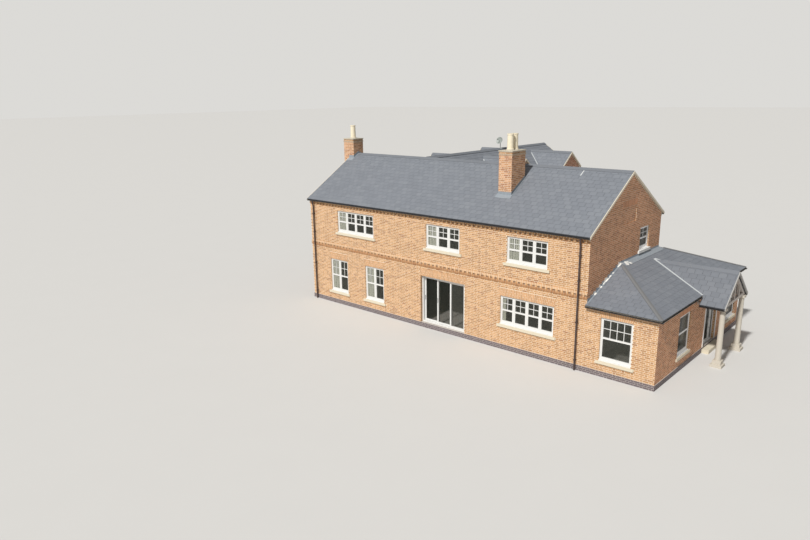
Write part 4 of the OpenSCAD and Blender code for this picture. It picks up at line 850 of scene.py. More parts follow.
def slate_field(blocks, a, side, slope, middle, ridge_z, reach, spans_at, holes=()):
    """Lays slates up the slope that falls from a ridge to one side of it.

    How far a place lies from the ridge, measured level, gives the spans at the foot and the head of a
    course, and the sides of a hole.
    """
    settings = given("slates")
    gauge = settings.gauge
    thick = settings.thick
    lap = 0.03
    joint = 0.009
    proud = 0.001
    least_course = 0.04
    least_width = 0.03
    lift = math.atan(thick / gauge)
    turn = math.radians(HEADING[(a, side)])
    pitch = math.atan(slope)
    level = math.cos(pitch)
    rows = reach / level
    along = Vector((math.cos(turn), math.sin(turn), 0.0))
    inward = Vector((-math.sin(turn), math.cos(turn), 0.0))
    up = inward * level + Vector((0.0, 0.0, math.sin(pitch)))
    normal = -inward * math.sin(pitch) + Vector((0.0, 0.0, level))
    angle = (-(math.pi / 2 - pitch + lift), 0.0, turn)
    origin = Vector(upright(a, middle + side * reach, 0.0, ridge_z - reach * slope))
    backwards = side == (1 if a == Y else -1)
    cuts = [((reach - far) / level, (reach - near) / level) for _, _, far, near in holes]
    cuts = [((-h[1], -h[0]) if backwards else h[:2]) + cut for h, cut in zip(holes, cuts)]
    for row in range(math.ceil(rows / gauge)):
        s0 = row * gauge
        s1 = min(s0 + gauge + lap, rows)
        if s1 - s0 < least_course:
            continue
        spans = spans_at(reach - s0 * level, reach - min(s0 + gauge, rows) * level)
        if backwards:
            spans = [(-end, -start) for start, end in reversed(spans)]
        for u0, u1, w0, w1 in lay_course(spans, s0, s1, (settings.width,), (row % 2) * 0.5, joint, cuts,
                                         least_width):
            away = (w0 + w1) / 2
            height = proud - thick / 2 - math.tan(lift) * (away - s0)
            place = origin + along * ((u0 + u1) / 2) + up * away + normal * height
            blocks.append((tuple(place), (u1 - u0, thick, w1 - w0), angle))


class HouseMeasure:
    """Levels and slopes of the house, measured from its parts."""

    def __init__(self):
        low, high = ({node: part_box(node)[end] for node in frame["nodes"]} for end in (0, 1))
        self.front = low["front_wall_left"].y
        self.left = low["left_gable_wall"].x
        self.right = high["right_gable_wall"].x
        self.rear = high["rear_wall"].y
        self.plinth_z = high["plinth"].z
        self.annex_x = high["annex_side_wall"].x
        self.annex_y = high["annex_rear_wall"].y
        self.annex_left = low["annex_rear_wall"].x
        self.wing_left = low["wing_left_wall"].x
        self.wing_right = high["wing_right_wall"].x
        self.wing_back = high["wing_rear_wall"].y
        self.wing_mid = (self.wing_left + self.wing_right) / 2
        self.half_w = (self.wing_right - self.wing_left) / 2
        self.tan_main, self.tan_annex, self.tan_porch, self.tan_gablet = (
            math.tan(math.radians(pitch)) for pitch in (MAIN_PITCH, ANNEX_PITCH, PORCH_PITCH, GABLET_PITCH))
        self.eaves_out = self.front - low["main_roof_front"].y
        self.verge_x = high["main_roof_front"].x
        self.ridge_z = high["main_roof_front"].z
        self.wing_ridge_z = high["wing_roof"].z
        self.wing_verge = high["wing_roof"].y
        self.wing_reach = high["wing_roof"].x - self.wing_mid
        edge = high["wing_roof"].x - TOUCH
        low_z = max(v.co.z for v in frame["nodes"]["wing_roof"].data.vertices if v.co.x > edge)
        self.tan_wing = (self.wing_ridge_z - low_z) / self.wing_reach
        self.gable_apex = high["right_gable_wall"].z
        self.annex_top = high["annex_roof"].z
        self.annex_reach = high["annex_roof"].x - self.right
        self.hip_y = self.front + (self.annex_x - self.right)
        self.annex_wall_z = high["annex_side_wall"].z - WALL * self.tan_annex
        self.eaves_z = high["front_wall_left"].z - WALL * self.tan_main
        porch_lo, porch_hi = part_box("porch_roof")
        self.porch_y = (porch_lo.y + porch_hi.y) / 2
        self.porch_half = (porch_hi.y - porch_lo.y) / 2
        self.porch_end = porch_hi.x
        self.porch_ridge = porch_hi.z
        gablets = [g for g in islands("gablet_roofs") if g[0].x > self.wing_mid]
        self.gablet_ys = sorted((lo.y + hi.y) / 2 for lo, hi, _ in gablets)
        self.gablet_half = max(hi.y for _, hi, _ in islands("gablet_cheeks")) - self.gablet_ys[-1]
        lo, hi, _ = gablets[0]
        self.gablet_reach = (hi.y - lo.y) / 2
        self.gablet_ridge = hi.z
        self.gablet_end = hi.x - self.wing_mid

    def string_z(self):
        """Bottom and top of the string course, the long low bands, and the height of its courses."""
        shortest = 5.0
        bands = [(lo.z, hi.z) for lo, hi, _ in islands("brick_courses")
                 if hi.x - lo.x > shortest and 2.0 < lo.z < 3.5]
        low = min(b[0] for b in bands)
        high = max(b[1] for b in bands)
        return low, high, (high - low) / 3

    def stack(self, node):
        """Sides of a stack below its cap, and where its laid bricks end."""
        lo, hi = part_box(node)
        return lo.x + CAP_OUT, hi.x - CAP_OUT, lo.y + CAP_OUT, hi.y - CAP_OUT, hi.z - FLAUNCH - HEAD

    def slates_at(self, y):
        """Height of the main roof's slates."""
        return self.ridge_z - abs(y) * self.tan_main

    def gable_shape(self, apex, slope, middles, half, below=None):
        """Spans of the courses of gables: the whole width, or what is left under the slopes."""
        def shape(v0, v1):
            reach = min(half, (apex - v1) / slope - MARGIN)
            spans = [(middle - reach, middle + reach) for middle in middles if reach > MARGIN]
            return below(spans, v0) if below else spans
        return shape

    def over_annex_side(self, spans, v0):
        """Spans of the right gable above the annex's slates."""
        if v0 > self.annex_top:
            return spans
        edge = self.hip_y - (self.annex_top - v0) / self.tan_annex
        return [(s0, min(s1, edge)) for s0, s1 in spans if s0 < edge]

    def beside_annex(self, v0, v1):
        """Spans of the wing's right wall above and behind the annex."""
        edge = self.annex_y
        if v0 > self.annex_top:
            edge = self.rear
        elif v0 > self.annex_wall_z:
            edge = min(self.rear + (self.annex_top - v0) / self.tan_annex, self.annex_y)
        return [(max(self.rear, edge), self.wing_back)]

    def brick_faces(self):
        """Faces to be laid with bricks as brick_wall takes them, grouped by the piece they make."""
        z0 = self.plinth_z
        top = self.eaves_z
        annex_z = self.annex_wall_z
        depth = (self.front, self.rear)
        wing = (self.rear, self.wing_back)
        wing_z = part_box("wing_rear_wall")[1].z
        gable = (self.gable_apex, self.tan_main, [0.0], -self.front)
        cover = 0.044
        gablet_z = self.gablet_ridge - cover
        gablets = self.gable_shape(gablet_z, self.tan_gablet, self.gablet_ys, self.gablet_half)
        lx0, lx1, _, ly, left_top = self.stack("left_chimney")
        mx0, mx1, my0, my1, mid_top = self.stack("middle_chimney")
        over = self.slates_at(ly)

        def side_of_stack(v0, v1):
            end = min(my1, (v0 - self.ridge_z) / self.tan_main)
            return [(my0, end)] if end > my0 else []

        return {
            "front": [(Y, -1, self.front, (self.left, self.right), z0, top)],
            "annex_front": [(Y, -1, self.front, (self.right, self.annex_x), z0, annex_z)],
            "right_gable": [(X, 1, self.right, depth, annex_z, self.gable_apex,
                             self.gable_shape(*gable, self.over_annex_side), [PANEL]),
                            (X, 1, self.right - PANEL_DEEP, PANEL[:2], *PANEL[2:])],
            "left_gable": [(X, -1, self.left, depth, z0, self.gable_apex, self.gable_shape(*gable),
                            [(-ly, ly, 0.0, FAR)])],
            "rear": [(Y, 1, self.rear, (self.left, self.wing_left), z0, top),
                     (Y, 1, self.rear, (self.wing_right, self.right), self.annex_top, top)],
            "wing_left": [(X, -1, self.wing_left, wing, z0, top)],
            "wing_right": [(X, 1, self.wing_right, wing, z0, top, self.beside_annex)],
            "gablets": [(X, -1, self.wing_left, wing, top, gablet_z, gablets),
                        (X, 1, self.wing_right, wing, top, gablet_z, gablets)],
            "wing_rear": [(Y, 1, self.wing_back, (self.wing_left, self.wing_right), z0, wing_z,
                           self.gable_shape(wing_z, self.tan_wing, [self.wing_mid], self.half_w))],
            "annex_side": [(X, 1, self.annex_x, (self.front, self.annex_y), z0, annex_z)],
            "annex_rear": [(Y, 1, self.annex_y, (self.annex_left, self.annex_x), z0, annex_z)],
            "left_stack": [
                (X, -1, lx0, (-ly, ly), 0.0, left_top),
                *((Y, side, side * ly, (lx0, self.left), 0.0, left_top) for side in (-1, 1)),
                *((Y, side, side * ly, (self.left, lx1), over, left_top) for side in (-1, 1)),
                (X, 1, lx1, (-ly, ly), over, left_top)],
            "middle_stack": [
                *((Y, side, at, (mx0, mx1), self.slates_at(at), mid_top)
                  for side, at in ((-1, my0), (1, my1))),
                *((X, side, at, (my0, my1), self.slates_at(my0), mid_top, side_of_stack)
                  for side, at in ((-1, mx0), (1, mx1)))],
        }

    def plinth_faces(self):
        """Faces of the plinth, laid in three courses."""
        out = self.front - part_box("plinth")[0].y
        ly = self.stack("left_chimney")[3]
        front, left, wing_left = (at - out for at in (self.front, self.left, self.wing_left))
        right, annex_y, wing_right, back, rear = (
            at + out for at in (self.annex_x, self.annex_y, self.wing_right, self.wing_back, self.rear))
        faces = [(Y, -1, front, left, right), (X, 1, right, front, annex_y),
                 (Y, 1, annex_y, self.annex_left + out, right), (X, 1, wing_right, annex_y, back),
                 (Y, 1, back, wing_left, wing_right), (X, -1, wing_left, rear, back),
                 (Y, 1, rear, left, wing_left), (X, -1, left, front, rear)]
        return [(a, side, level, (e0, e1), 0.0, self.plinth_z, None,
                 [(-ly, ly, 0.0, FAR)] if level == left else (), self.plinth_z / 3, 0.0)
                for a, side, level, e0, e1 in faces]


@functools.cache
def measure():
    return HouseMeasure()


class HOUSE_OT_lay_bricks(bpy.types.Operator):
    """Lay the facing bricks of every outer wall, course by course."""

    bl_idname = "house.lay_bricks"
    bl_label = "Lay the bricks"

    def execute(self, context):
        # The side walls' bricks carry the gable tint, which is painted shade.
        side = brick_face("gable_brick", cast="gable")
        wing = brick_face("wing_brick", cast="wing")
        stack = brick_face("stack_brick", cast="stack", burnt=0.22)
        finishes = {"left_stack": stack, "middle_stack": stack, "right_gable": side, "left_gable": side,
                    "annex_side": side, "wing_left": wing, "wing_right": wing, "gablets": wing}
        for number, (name, faces) in enumerate(measure().brick_faces().items()):
            lay("bricks_" + name, brick_wall, faces, finishes.get(name) or brick_face(),
                11 + number)
        lay("bricks_plinth", brick_wall, measure().plinth_faces(), brick_face("plinth_face", "plinth", 0.7),
            41)
        return {"FINISHED"}


def trim(piece, cuts):
    """Cuts a piece along planes, each a point and the direction of the side that goes."""
    built = bmesh.new()
    built.from_mesh(piece.data)
    for point, away in cuts:
        geometry = built.verts[:] + built.edges[:] + built.faces[:]
        made = bmesh.ops.bisect_plane(built, geom=geometry, plane_co=point, plane_no=away,
                                      clear_outer=True)
        edges = [g for g in made["geom_cut"] if isinstance(g, bmesh.types.BMEdge)]
        bmesh.ops.holes_fill(built, edges=[e for e in edges if e.is_valid], sides=8)
    built.to_mesh(piece.data)
    built.free()


def lowered(node, planes, finish, drop=0.014):
    """A copy of a roof node whose slated faces are let down to carry the laid slates."""
    welded = 0.00005
    on_slope = 0.0015

    def let_down(built):
        bmesh.ops.remove_doubles(built, verts=built.verts, dist=welded)
        for v in built.verts:
            if any(abs(v.co.z - height_at(v.co)) < on_slope for height_at in planes):
                v.co.z -= drop

    mesh = frame["nodes"][node].data.copy()
    mesh.name = node + "_deck"
    reshaped(mesh, let_down)
    mesh.materials.clear()
    mesh.materials.append(finish)
    piece = on_house(linked(node + "_deck", mesh))
    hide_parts(node)


class HOUSE_OT_lay_slates(bpy.types.Operator):
    """Lay the slates of every slope over lowered roof decks."""

    bl_idname = "house.lay_slates"
    bl_label = "Lay the slates"

    def execute(self, context):
        m = measure()
        decks = {
            "main_roof_front": [lambda p: m.ridge_z + p.y * m.tan_main],
            "main_roof_back": [lambda p: m.ridge_z - p.y * m.tan_main],
            "wing_roof": [lambda p: m.wing_ridge_z - abs(p.x - m.wing_mid) * m.tan_wing],
            "gablet_roofs": [lambda p: m.gablet_ridge - min(abs(p.y - y) for y in m.gablet_ys)
                             * m.tan_gablet],
            "annex_roof": [lambda p: m.annex_top - (p.x - m.right) * m.tan_annex,
                           lambda p: m.annex_top + (p.y - m.hip_y) * m.tan_annex,
                           lambda p: m.annex_top - (p.y - m.rear) * m.tan_annex],
            "porch_roof": [lambda p: m.porch_ridge - abs(p.y - m.porch_y) * m.tan_porch]}
        boarded = slate_deck("annex_deck", m.annex_top - m.annex_reach * m.tan_annex - 0.03)
        for node, planes in decks.items():
            lowered(node, planes, boarded if node == "annex_roof" else slate_deck())

        def main_back(far, near):
            half = max(m.tan_main / m.tan_wing * near, 0.0)
            return [(-m.verge_x, m.wing_mid - half), (m.wing_mid + half, m.verge_x)]

        def wing(far, near):
            spans = [(max(near, 0.0) / (m.tan_main / m.tan_wing), m.wing_verge)]
            wide = (m.gablet_ridge - m.wing_ridge_z + near * m.tan_wing) / m.tan_gablet
            wide = min(wide, m.gablet_half)
            for y in m.gablet_ys:
                spans = cut_spans(spans, y - wide, y + wide) if wide > LEAST_CUT else spans
            return spans

        def gablet(side):
            def spans_at(far, near):
                start = (m.wing_ridge_z - m.gablet_ridge + max(near, 0.0) * m.tan_gablet) / m.tan_wing
                return [tuple(sorted(m.wing_mid + side * end for end in (start, m.gablet_end)))]
            return spans_at

        def annex_side(far, near):
            spans = [(m.hip_y - far, m.rear + far)]
            wide = (near * m.tan_annex + m.porch_ridge - m.annex_top) / m.tan_porch
            return cut_spans(spans, m.porch_y - wide, m.porch_y + wide) if wide > LEAST_CUT else spans

        def porch(far, near):
            start = m.right + (m.annex_top - m.porch_ridge + max(near, 0.0) * m.tan_porch) / m.tan_annex
            return [(min(start, m.right + m.annex_reach), m.porch_end)]

        _, edge, _, back, _ = m.stack("left_chimney")
        x0, x1, y0, y1, _ = m.stack("middle_chimney")
        stacks = [(x0, x1, abs(y0), abs(y1)), (-FAR, edge, back, -FAR)]
        main = (m.tan_main, 0.0, m.ridge_z, m.eaves_out - m.front)
        annex = (m.annex_top, m.annex_reach)
        slopes = {
            "main_front": [(Y, -1, *main, lambda far, near: [(-m.verge_x, m.verge_x)], stacks)],
            "main_back": [(Y, 1, *main, main_back, stacks[1:])],
            "wing": [(X, side, m.tan_wing, m.wing_mid, m.wing_ridge_z, m.wing_reach, wing)
                     for side in (-1, 1)],
            "gablets": [(Y, face, m.tan_gablet, y, m.gablet_ridge, m.gablet_reach, gablet(side))
                        for y in m.gablet_ys for side in (-1, 1) for face in (-1, 1)],
            "annex_side": [(X, 1, m.tan_annex, m.right, *annex, annex_side)],
            "annex_front": [(Y, -1, m.tan_annex, m.hip_y, *annex,
                             lambda far, near: [(m.right, m.right + far)])],
            "annex_rear": [(Y, 1, m.tan_annex, m.rear, *annex,
                            lambda far, near: [(m.annex_left, m.right + far)])],
            "porch": [(Y, face, m.tan_porch, m.porch_y, m.porch_ridge, m.porch_half, porch)
                      for face in (-1, 1)]}
        front_corner = Vector((m.right, m.hip_y, 0.0))
        rear_corner = Vector((m.right, m.rear, 0.0))
        hips = {"annex_side": [(front_corner, Vector((-1.0, -1.0, 0.0))),
                               (rear_corner, Vector((-1.0, 1.0, 0.0)))],
                "annex_front": [(front_corner, Vector((1.0, 1.0, 0.0)))],
                "annex_rear": [(rear_corner, Vector((1.0, -1.0, 0.0)))]}
        for number, (name, fields) in enumerate(slopes.items()):
            finish = slate_face("porch_slate", 0.85) if name == "porch" else slate_face()
            piece = lay("slates_" + name, slate_field, fields, finish, 51 + number)
            if name in hips:
                trim(piece, hips[name])
        return {"FINISHED"}


class HOUSE_OT_turn_arches(bpy.types.Operator):
    """Set the upright bricks of the flat arches, fanned towards their tops."""

    bl_idname = "house.turn_arches"
    bl_label = "Turn the arches"

    def execute(self, context):
        joint = 0.008
        whole = 0.215
        shallow, deepest = 0.09, 0.11
        lowest = 0.2
        longest = 4.0
        one_brick = 0.3
        groups = {"arch_bricks": ([], [], []), "side_arch_bricks": ([], [], [])}
        count = 0
        for lo, hi, points in islands("brick_courses"):
            deep = [hi[i] - lo[i] for i in (X, Y)]
            tall = hi.z - lo.z
            if not shallow <= min(deep) <= deepest or tall < lowest or max(deep) > longest:
                continue
            a = deep.index(min(deep))
            corners, faces, tones = list(groups.values())[1 - a]
            low = ends_at(points, 1 - a, lo[2])
            high = ends_at(points, 1 - a, hi[2])
            level, side = self.outer(a, lo, hi)
            number = round((low[1] - low[0]) / COURSE)
            for i in range(number):
                split = whole if i % 2 else tall - whole
                halves = [(0.0, split - joint / 2), (split + joint / 2, tall)]
                for part in halves if tall > one_brick else [(0.0, tall)]:
                    count += 1
                    faces += box_faces(len(corners))
                    for out in (-PROUD, PROUD):
                        for v in part:
                            start, stop = (low[e] + (high[e] - low[e]) * (v / tall) for e in (0, 1))
                            for end in (0, 1):
                                along = start + (i + end) * (stop - start) / number + joint * (0.5 - end)
                                corners.append(upright(a, level + side * out, along, lo.z + v))
                                tones.append((math.sin(count * 12.9898) * 43758.5453) % 1.0)
        # The side walls' arches carry the gable tint, which is painted shade.
        for (name, (corners, faces, tones)), cast in zip(groups.items(), (None, "gable")):
            mesh_piece(name, corners, faces, brick_face(name, "arch", cast=cast), tones)
        return {"FINISHED"}

    def outer(self, a, lo, hi):
        """Level of an arch's outer face and the side that it looks to."""
        m = measure()
        levels = ([(m.right, 1), (m.annex_x, 1), (m.wing_left, -1), (m.wing_right, 1)] if a == X else
                  [(m.front, -1), (m.rear, 1), (m.annex_y, 1), (m.wing_back, 1)])
        for level, side in levels:
            if abs(lo[a] - level) < TOUCH or abs(hi[a] - level) < TOUCH:
                return level, side
        raise RuntimeError("an arch lies on no wall")


class HOUSE_OT_point_verges(bpy.types.Operator):
    """Lay strips of mortar under the slates of every gable, and the edge of the porch's slates."""

    bl_idname = "house.point_verges"
    bl_label = "Point the verges"

    def execute(self, context):
        m = measure()
        cover = 0.028
        under = 0.018
        lip = 0.001
        tall = 0.095
        short = 0.02
        board = 0.04
        joinery = given("joinery")
        main = (0.0, m.ridge_z, m.tan_main)
        half = m.eaves_out - m.front - short
        gables = [(X, m.right, m.verge_x + cover, *main, 0.0, half),
                  (X, m.left, -m.verge_x - cover, *main, m.stack("left_chimney")[3] + cover, half),
                  (Y, m.wing_back, m.wing_verge + cover, m.wing_mid, m.wing_ridge_z, m.tan_wing, 0.0,
                   m.wing_reach - short)]
        gables += [(X, m.wing_mid + side * m.half_w, m.wing_mid + side * (m.gablet_end + cover), y,
                    m.gablet_ridge, m.tan_gablet, 0.0, m.gablet_reach - short)
                   for y in m.gablet_ys for side in (-1, 1)]
        porch = [(X, m.porch_end - board, m.porch_end + cover, m.porch_y, m.porch_ridge, m.tan_porch, 0.0,
                  m.porch_half - short)]
        for name, verges, finish in (
                ("verge_pointing", gables, plain_finish("pointing", joinery.cement, 0.9, 30.0)),
                ("porch_barge_edge", porch, plain_finish("barge_edge", joinery.barge, 0.8, 30.0))):
            corners = []
            faces = []
            for a, near, far, middle, apex, slope, start, stop in verges:
                edge = far - cover if far > near else far + cover
                section = ((near, under), (edge, under), (edge, lip), (far, lip), (far, tall), (near, tall))
                for hand in (-1, 1):
                    prism(corners, faces, [
                        [upright(a, level, middle + hand * away, apex - away * slope - down)
                         for level, down in section] for away in (start, stop)])
            mesh_piece(name, corners, faces, finish)
        return {"FINISHED"}


class HOUSE_OT_fit_bars(bpy.types.Operator):
    """Fit the glazing bars over the upper panes of the windows."""

    bl_idname = "house.fit_bars"
    bl_label = "Fit the glazing bars"

    def execute(self, context):
        lay("glazing_bars", self.bars, islands("window_glass"), frame_finish(), 61)
        return {"FINISHED"}

    def bars(self, blocks, lo, hi, _):
        """Bars of one pane: upright ones, fewer on a narrow pane, and one across."""
        m = measure()
        bar = given("joinery").bar
        thick = 0.012
        cross_over = 0.001
        broad = 0.9
        near = 0.2
        a = X if hi.x - lo.x < hi.y - lo.y else Y
        u = 1 - a
        middle = (lo + hi) / 2
        home = [w for node in WINDOWS for w in islands(node)
                if all(w[0][i] - TOUCH < middle[i] < w[1][i] + TOUCH for i in range(3))]
        if not home or middle.z < (home[0][0].z + home[0][1].z) / 2:
            return
        if a == X and abs(middle.x - m.annex_x) < near:
            return
        wide = hi[u] - lo[u]
        columns = 4 if wide > broad else 2
        turn = (0.0, 0.0, math.radians(90.0 if a == X else 0.0))
        for face in (lo[a], hi[a]):
            for i in range(1, columns):
                blocks.append((upright(a, face, lo[u] + wide * i / columns, middle.z),
                               (bar, thick - cross_over, hi.z - lo.z), turn))
            blocks.append((upright(a, face, middle[u], middle.z), (wide, thick, bar), turn))


class HOUSE_OT_hang_curtains(bpy.types.Operator):
    """Hang a gathered curtain on a rod behind the left light of every front window."""

    bl_idname = "house.hang_curtains"
    bl_label = "Hang the curtains"

    def execute(self, context):
        cloth = plain_finish("curtain_cloth", given("joinery").cloth, 0.95, 120.0, 0.08, 0.0005,
                             (1.0, 1.0, 0.1))
        metal = metal_finish("curtain_rod", (0.55, 0.50, 0.42), 0.35, 0.8)
        behind = 0.125
        rod_r = 0.008
        below_head = 0.045
        above_foot = 0.06
        upstairs = 2.5
        broad = 2.0
        start = 0.02
        drawn = 0.60
        open_back = 0.24
        corners = []
        faces = []
        turns = [2 * math.pi * i / 8 for i in range(8)]
        for number, (lo, hi, _) in enumerate(islands("front_windows"), 1):
            y = lo.y + behind
            top = hi.z - below_head
            prism(corners, faces, [[(x, y + rod_r * math.cos(turn), top + rod_r * math.sin(turn))
                                    for turn in turns] for x in (lo.x, hi.x)])
            tied_back = lo.z < upstairs and hi.x - lo.x > broad
            wide = open_back if tied_back else drawn
            self.hang(number, lo.x + start, lo.x + wide, y, top + rod_r, lo.z + above_foot, cloth)
        mesh_piece("curtain_rods", corners, faces, metal)
        return {"FINISHED"}

    def hang(self, number, x0, x1, y, top, bottom, cloth):
        """A sheet in even folds, deeper at its foot, that hangs from the top of the rod."""
        folds = 6
        steps = 12 * folds
        rows = 10
        thin = 0.0015
        front = []
        for row in range(rows + 1):
            fall = row / rows
            deep = 0.009 + 0.010 * fall
            for i in range(steps + 1):
                turn = 2 * math.pi * folds * i / steps
                x = x0 + (x1 - x0) * i / steps + 0.010 * fall * math.sin(turn * 0.37 + number)
                sway = math.sin(turn) + 0.25 * math.sin(turn * 0.5 + number) * fall
                front.append(Vector((x, y - 0.012 + deep * sway, top + (bottom - top) * fall)))
        wide = steps + 1
        starts = [row * wide + i for row in range(rows + 1) for i in range(steps)]
        faces = [(a, a + 1, a + wide + 1, a + wide) for a in starts if a < rows * wide]

        def thicken(built):
            bmesh.ops.solidify(built, geom=built.faces[:], thickness=thin)
            for face in built.faces:
                face.smooth = True

        piece = mesh_piece("curtain_%d" % number, [tuple(p) for p in front], faces, cloth,
                           change=thicken)


class HOUSE_OT_trim_walls(bpy.types.Operator):
    """Fit the white casing round the entrance and dress the lead apron over the annex's slates."""

    bl_idname = "house.trim_walls"
    bl_label = "Trim the walls"

    def execute(self, context):
        m = measure()
        lo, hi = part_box("entrance_frame")
        wide = 0.070
        proud = 0.024
        head = hi.z + wide

        def level(x, y):
            return 0.0

        casing = [(m.annex_x, m.annex_x + proud, *sides, level) for sides in (
            (lo.y - wide, lo.y, m.plinth_z, head), (hi.y, hi.y + wide, m.plinth_z, head),
            (lo.y, hi.y, hi.z, head))]
        self.boxes("entrance_casing", casing, frame_finish(), "white_frame")

        over = 0.004
        thin = 0.003
        apron = (m.right + 0.150, m.right + 0.250, m.hip_y + 0.02, m.rear - 0.02)
        lead = [(*apron, over, over + thin, lambda x, y: m.annex_top - (x - m.right) * m.tan_annex),
                (*STRIP, over, over + thin, lambda x, y: m.ridge_z + y * m.tan_main)]
        self.boxes("lead_dressings", lead, lead_finish(), "lead")
        return {"FINISHED"}

    def boxes(self, name, boxes, finish, slot):
        """A piece of boxes, each given by its sides and its foot and top above a slope."""
        corners = []
        faces = []
        for x0, x1, y0, y1, z0, z1, slope in boxes:
            faces += box_faces(len(corners))
            corners += [(x, y, slope(x, y) + z) for x in (x0, x1) for y in (y0, y1) for z in (z0, z1)]
        mesh_piece(name, corners, faces, finish)


class HOUSE_OT_finish_parts(bpy.types.Operator):
    """Give every part of the frame its own finish."""

    bl_idname = "house.finish_parts"
    bl_label = "Finish the parts"

    def execute(self, context):
        joinery = given("joinery")
        finishes = {
            "plinth": plain_finish("plinth_mortar", (0.50, 0.46, 0.42), 0.9, 30.0),
            "ground_floor": plain_finish("floor_screed", (0.42, 0.40, 0.36), 0.8, 6.0),
            "upper_floor": boards_finish(),
            "porch_frame": timber_finish(),
            "stone_sills": sill_finish(),
            "porch_columns": plain_finish("column_stone", joinery.column, 0.85, 28.0, 0.16, 0.002),
            "brick_courses": band_finish(),
            "left_chimney": chimney_finish("left_chimney"),
            "middle_chimney": chimney_finish("middle_chimney"),
            "chimney_pots": plain_finish("clay_pot", joinery.clay, 0.8, 16.0, 0.2, 0.002),
            "ridge_tiles": tiles_finish(),
            "lead_flashings": lead_finish(),
            "gutters": metal_finish("black_gutter", (0.012, 0.012, 0.014), 0.32),
            "downpipes": metal_finish("brown_pipe", (0.050, 0.027, 0.025), 0.38),
            "window_glass": glass_finish(),
            "dish_aerial": metal_finish("aerial_grey", (0.30, 0.33, 0.31), 0.45)}
        for node in WINDOWS + ("garden_door_frame", "entrance_frame"):
            finishes[node] = frame_finish()
        stile = 0.075
        rail = 0.08
        pull = 0.002
        for node in ("garden_door_left", "garden_door_middle"):
            lo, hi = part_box(node)
            pane = (X, lo.x + stile, hi.x - stile, lo.z + rail, hi.z - stile)
            finishes[node] = door_finish(node, joinery.frame, pane, lo.y + pull)
        lo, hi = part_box("entrance_door")
        stile = 0.1
        hinge_stile = 0.115
        pane = (Y, lo.y + hinge_stile, hi.y - stile, lo.z + stile, hi.z - stile)
        finishes["entrance_door"] = door_finish("entrance_leaf", dim(joinery.frame, 0.92), pane)
        for node, part in frame["nodes"].items():
            finish = finishes.get(node) or brickwork()
            if not part.material_slots:
                part.data.materials.append(finish)
            for place in part.material_slots:
                place.material = finish
        return {"FINISHED"}


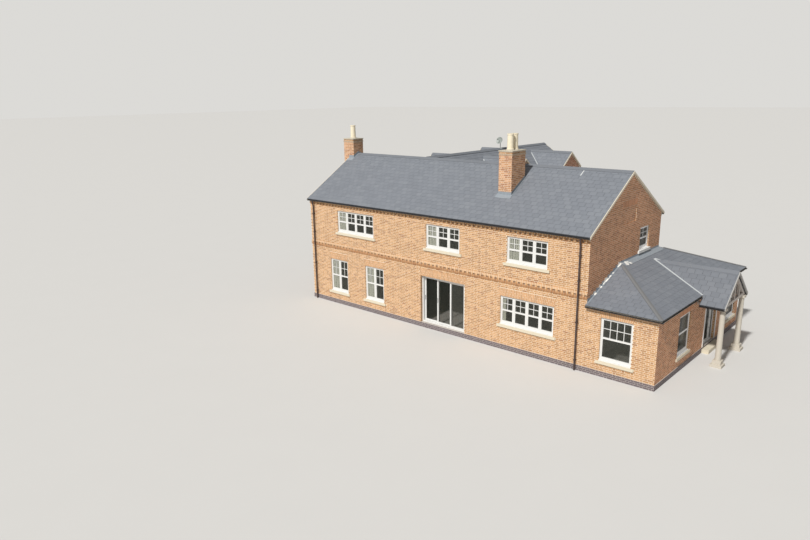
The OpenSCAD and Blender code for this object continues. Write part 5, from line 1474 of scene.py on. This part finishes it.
class HOUSE_OT_set_stage(bpy.types.Operator):
    """Set the floor, the light and the camera at the photograph's angle."""

    bl_idname = "house.set_stage"
    bl_label = "Set the stage"

    def execute(self, context):
        scene = context.scene
        settings = given("stage")
        scene.view_settings.view_transform = "Standard"
        size = 400.0
        mesh = bpy.data.meshes.new("floor")
        mesh.from_pydata([(-size, -size, 0.0), (size, -size, 0.0), (size, size, 0.0), (-size, size, 0.0)],
                         [], [(0, 1, 2, 3)])
        p, _, _, grain = begin("studio_floor", 0.6, 3.0)
        mesh.materials.append(p.finish(p.mottle(grain, settings.floor, 0.98), 0.9))
        linked("floor", mesh)

        lamp = bpy.data.lights.new("key", "SUN")
        lamp.energy = settings.sun
        lamp.angle = math.radians(4.0)
        lamp.color = (1.0, 0.985, 0.955)
        key = linked("key", lamp)
        key.rotation_euler = Vector((-0.065, 0.687, -0.7235)).to_track_quat("-Z", "Y").to_euler()

        world = bpy.data.worlds.new("studio")
        scene.world = world
        world.use_nodes = True
        tree = world.node_tree
        light = tree.nodes["Background"]
        light.inputs[0].default_value = (1.0, 0.985, 0.975, 1.0)
        light.inputs[1].default_value = settings.fill
        seen = tree.nodes.new("ShaderNodeBackground")
        seen.inputs[0].default_value = (*settings.back, 1.0)
        path = tree.nodes.new("ShaderNodeLightPath")
        mixed = tree.nodes.new("ShaderNodeMixShader")
        for place, given_by in enumerate((path.outputs["Is Camera Ray"], light.outputs[0], seen.outputs[0])):
            tree.links.new(given_by, mixed.inputs[place])
        tree.links.new(mixed.outputs[0], tree.nodes["World Output"].inputs[0])

        self.place_camera(scene)
        return {"FINISHED"}

    def place_camera(self, scene):
        """The photograph's camera, whose picture is 810 by 540 pixels: a lens of 29.69 mm on 36 mm."""
        yaw, pitch, roll = (math.radians(angle) for angle in (42.067, 14.765, -0.852))
        forward = Vector((-math.sin(yaw) * math.cos(pitch), math.cos(yaw) * math.cos(pitch),
                          -math.sin(pitch)))
        right = Vector((math.cos(yaw), math.sin(yaw), 0.0))
        up = right.cross(forward)
        right_rolled = right * math.cos(roll) + up * math.sin(roll)
        up_rolled = up * math.cos(roll) - right * math.sin(roll)
        lens = bpy.data.cameras.new("camera")
        lens.lens = 29.69
        lens.sensor_width = 36.0
        lens.clip_start = 0.1
        lens.clip_end = 2000.0
        camera = linked("camera", lens)
        place = camera.matrix_world
        columns = (right_rolled, up_rolled, -forward, Vector((18.432, -25.082, 10.249)))
        for i, column in enumerate(columns):
            for j in range(3):
                place[j][i] = column[j]
        camera.matrix_world = place
        scene.camera = camera


class HOUSE_PT_panel(bpy.types.Panel):
    """The house's operators and settings."""

    bl_idname = "HOUSE_PT_panel"
    bl_label = "House"
    bl_space_type = "VIEW_3D"
    bl_region_type = "UI"
    bl_category = "House"

    def draw(self, context):
        for operator in OPERATORS:
            self.layout.operator(operator.bl_idname)
        for name, group in GROUPS.items():
            box = self.layout.box()
            settings = getattr(context.scene, name)
            for field in group.__annotations__:
                box.prop(settings, field)


GROUPS = {"house_brickwork": HouseBrickwork, "house_slates": HouseSlates,
          "house_joinery": HouseJoinery, "house_stage": HouseStage}
OPERATORS = [HOUSE_OT_set_stage, HOUSE_OT_finish_parts, HOUSE_OT_lay_bricks, HOUSE_OT_turn_arches,
             HOUSE_OT_lay_slates, HOUSE_OT_point_verges, HOUSE_OT_fit_bars, HOUSE_OT_trim_walls,
             HOUSE_OT_hang_curtains]
CLASSES = list(GROUPS.values()) + OPERATORS + [HOUSE_PT_panel]


def register():
    for cls in CLASSES:
        bpy.utils.register_class(cls)
    for name, group in GROUPS.items():
        setattr(bpy.types.Scene, name, bpy.props.PointerProperty(type=group))


def unregister():
    for name in GROUPS:
        delattr(bpy.types.Scene, name)
    for cls in reversed(CLASSES):
        bpy.utils.unregister_class(cls)


def main():
    register()
    bpy.ops.house.set_stage()
    bpy.ops.house.finish_parts()
    bpy.ops.house.lay_bricks()
    bpy.ops.house.turn_arches()
    bpy.ops.house.lay_slates()
    bpy.ops.house.point_verges()
    bpy.ops.house.fit_bars()
    bpy.ops.house.trim_walls()
    bpy.ops.house.hang_curtains()
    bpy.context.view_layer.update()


if __name__ == "__main__":
    main()
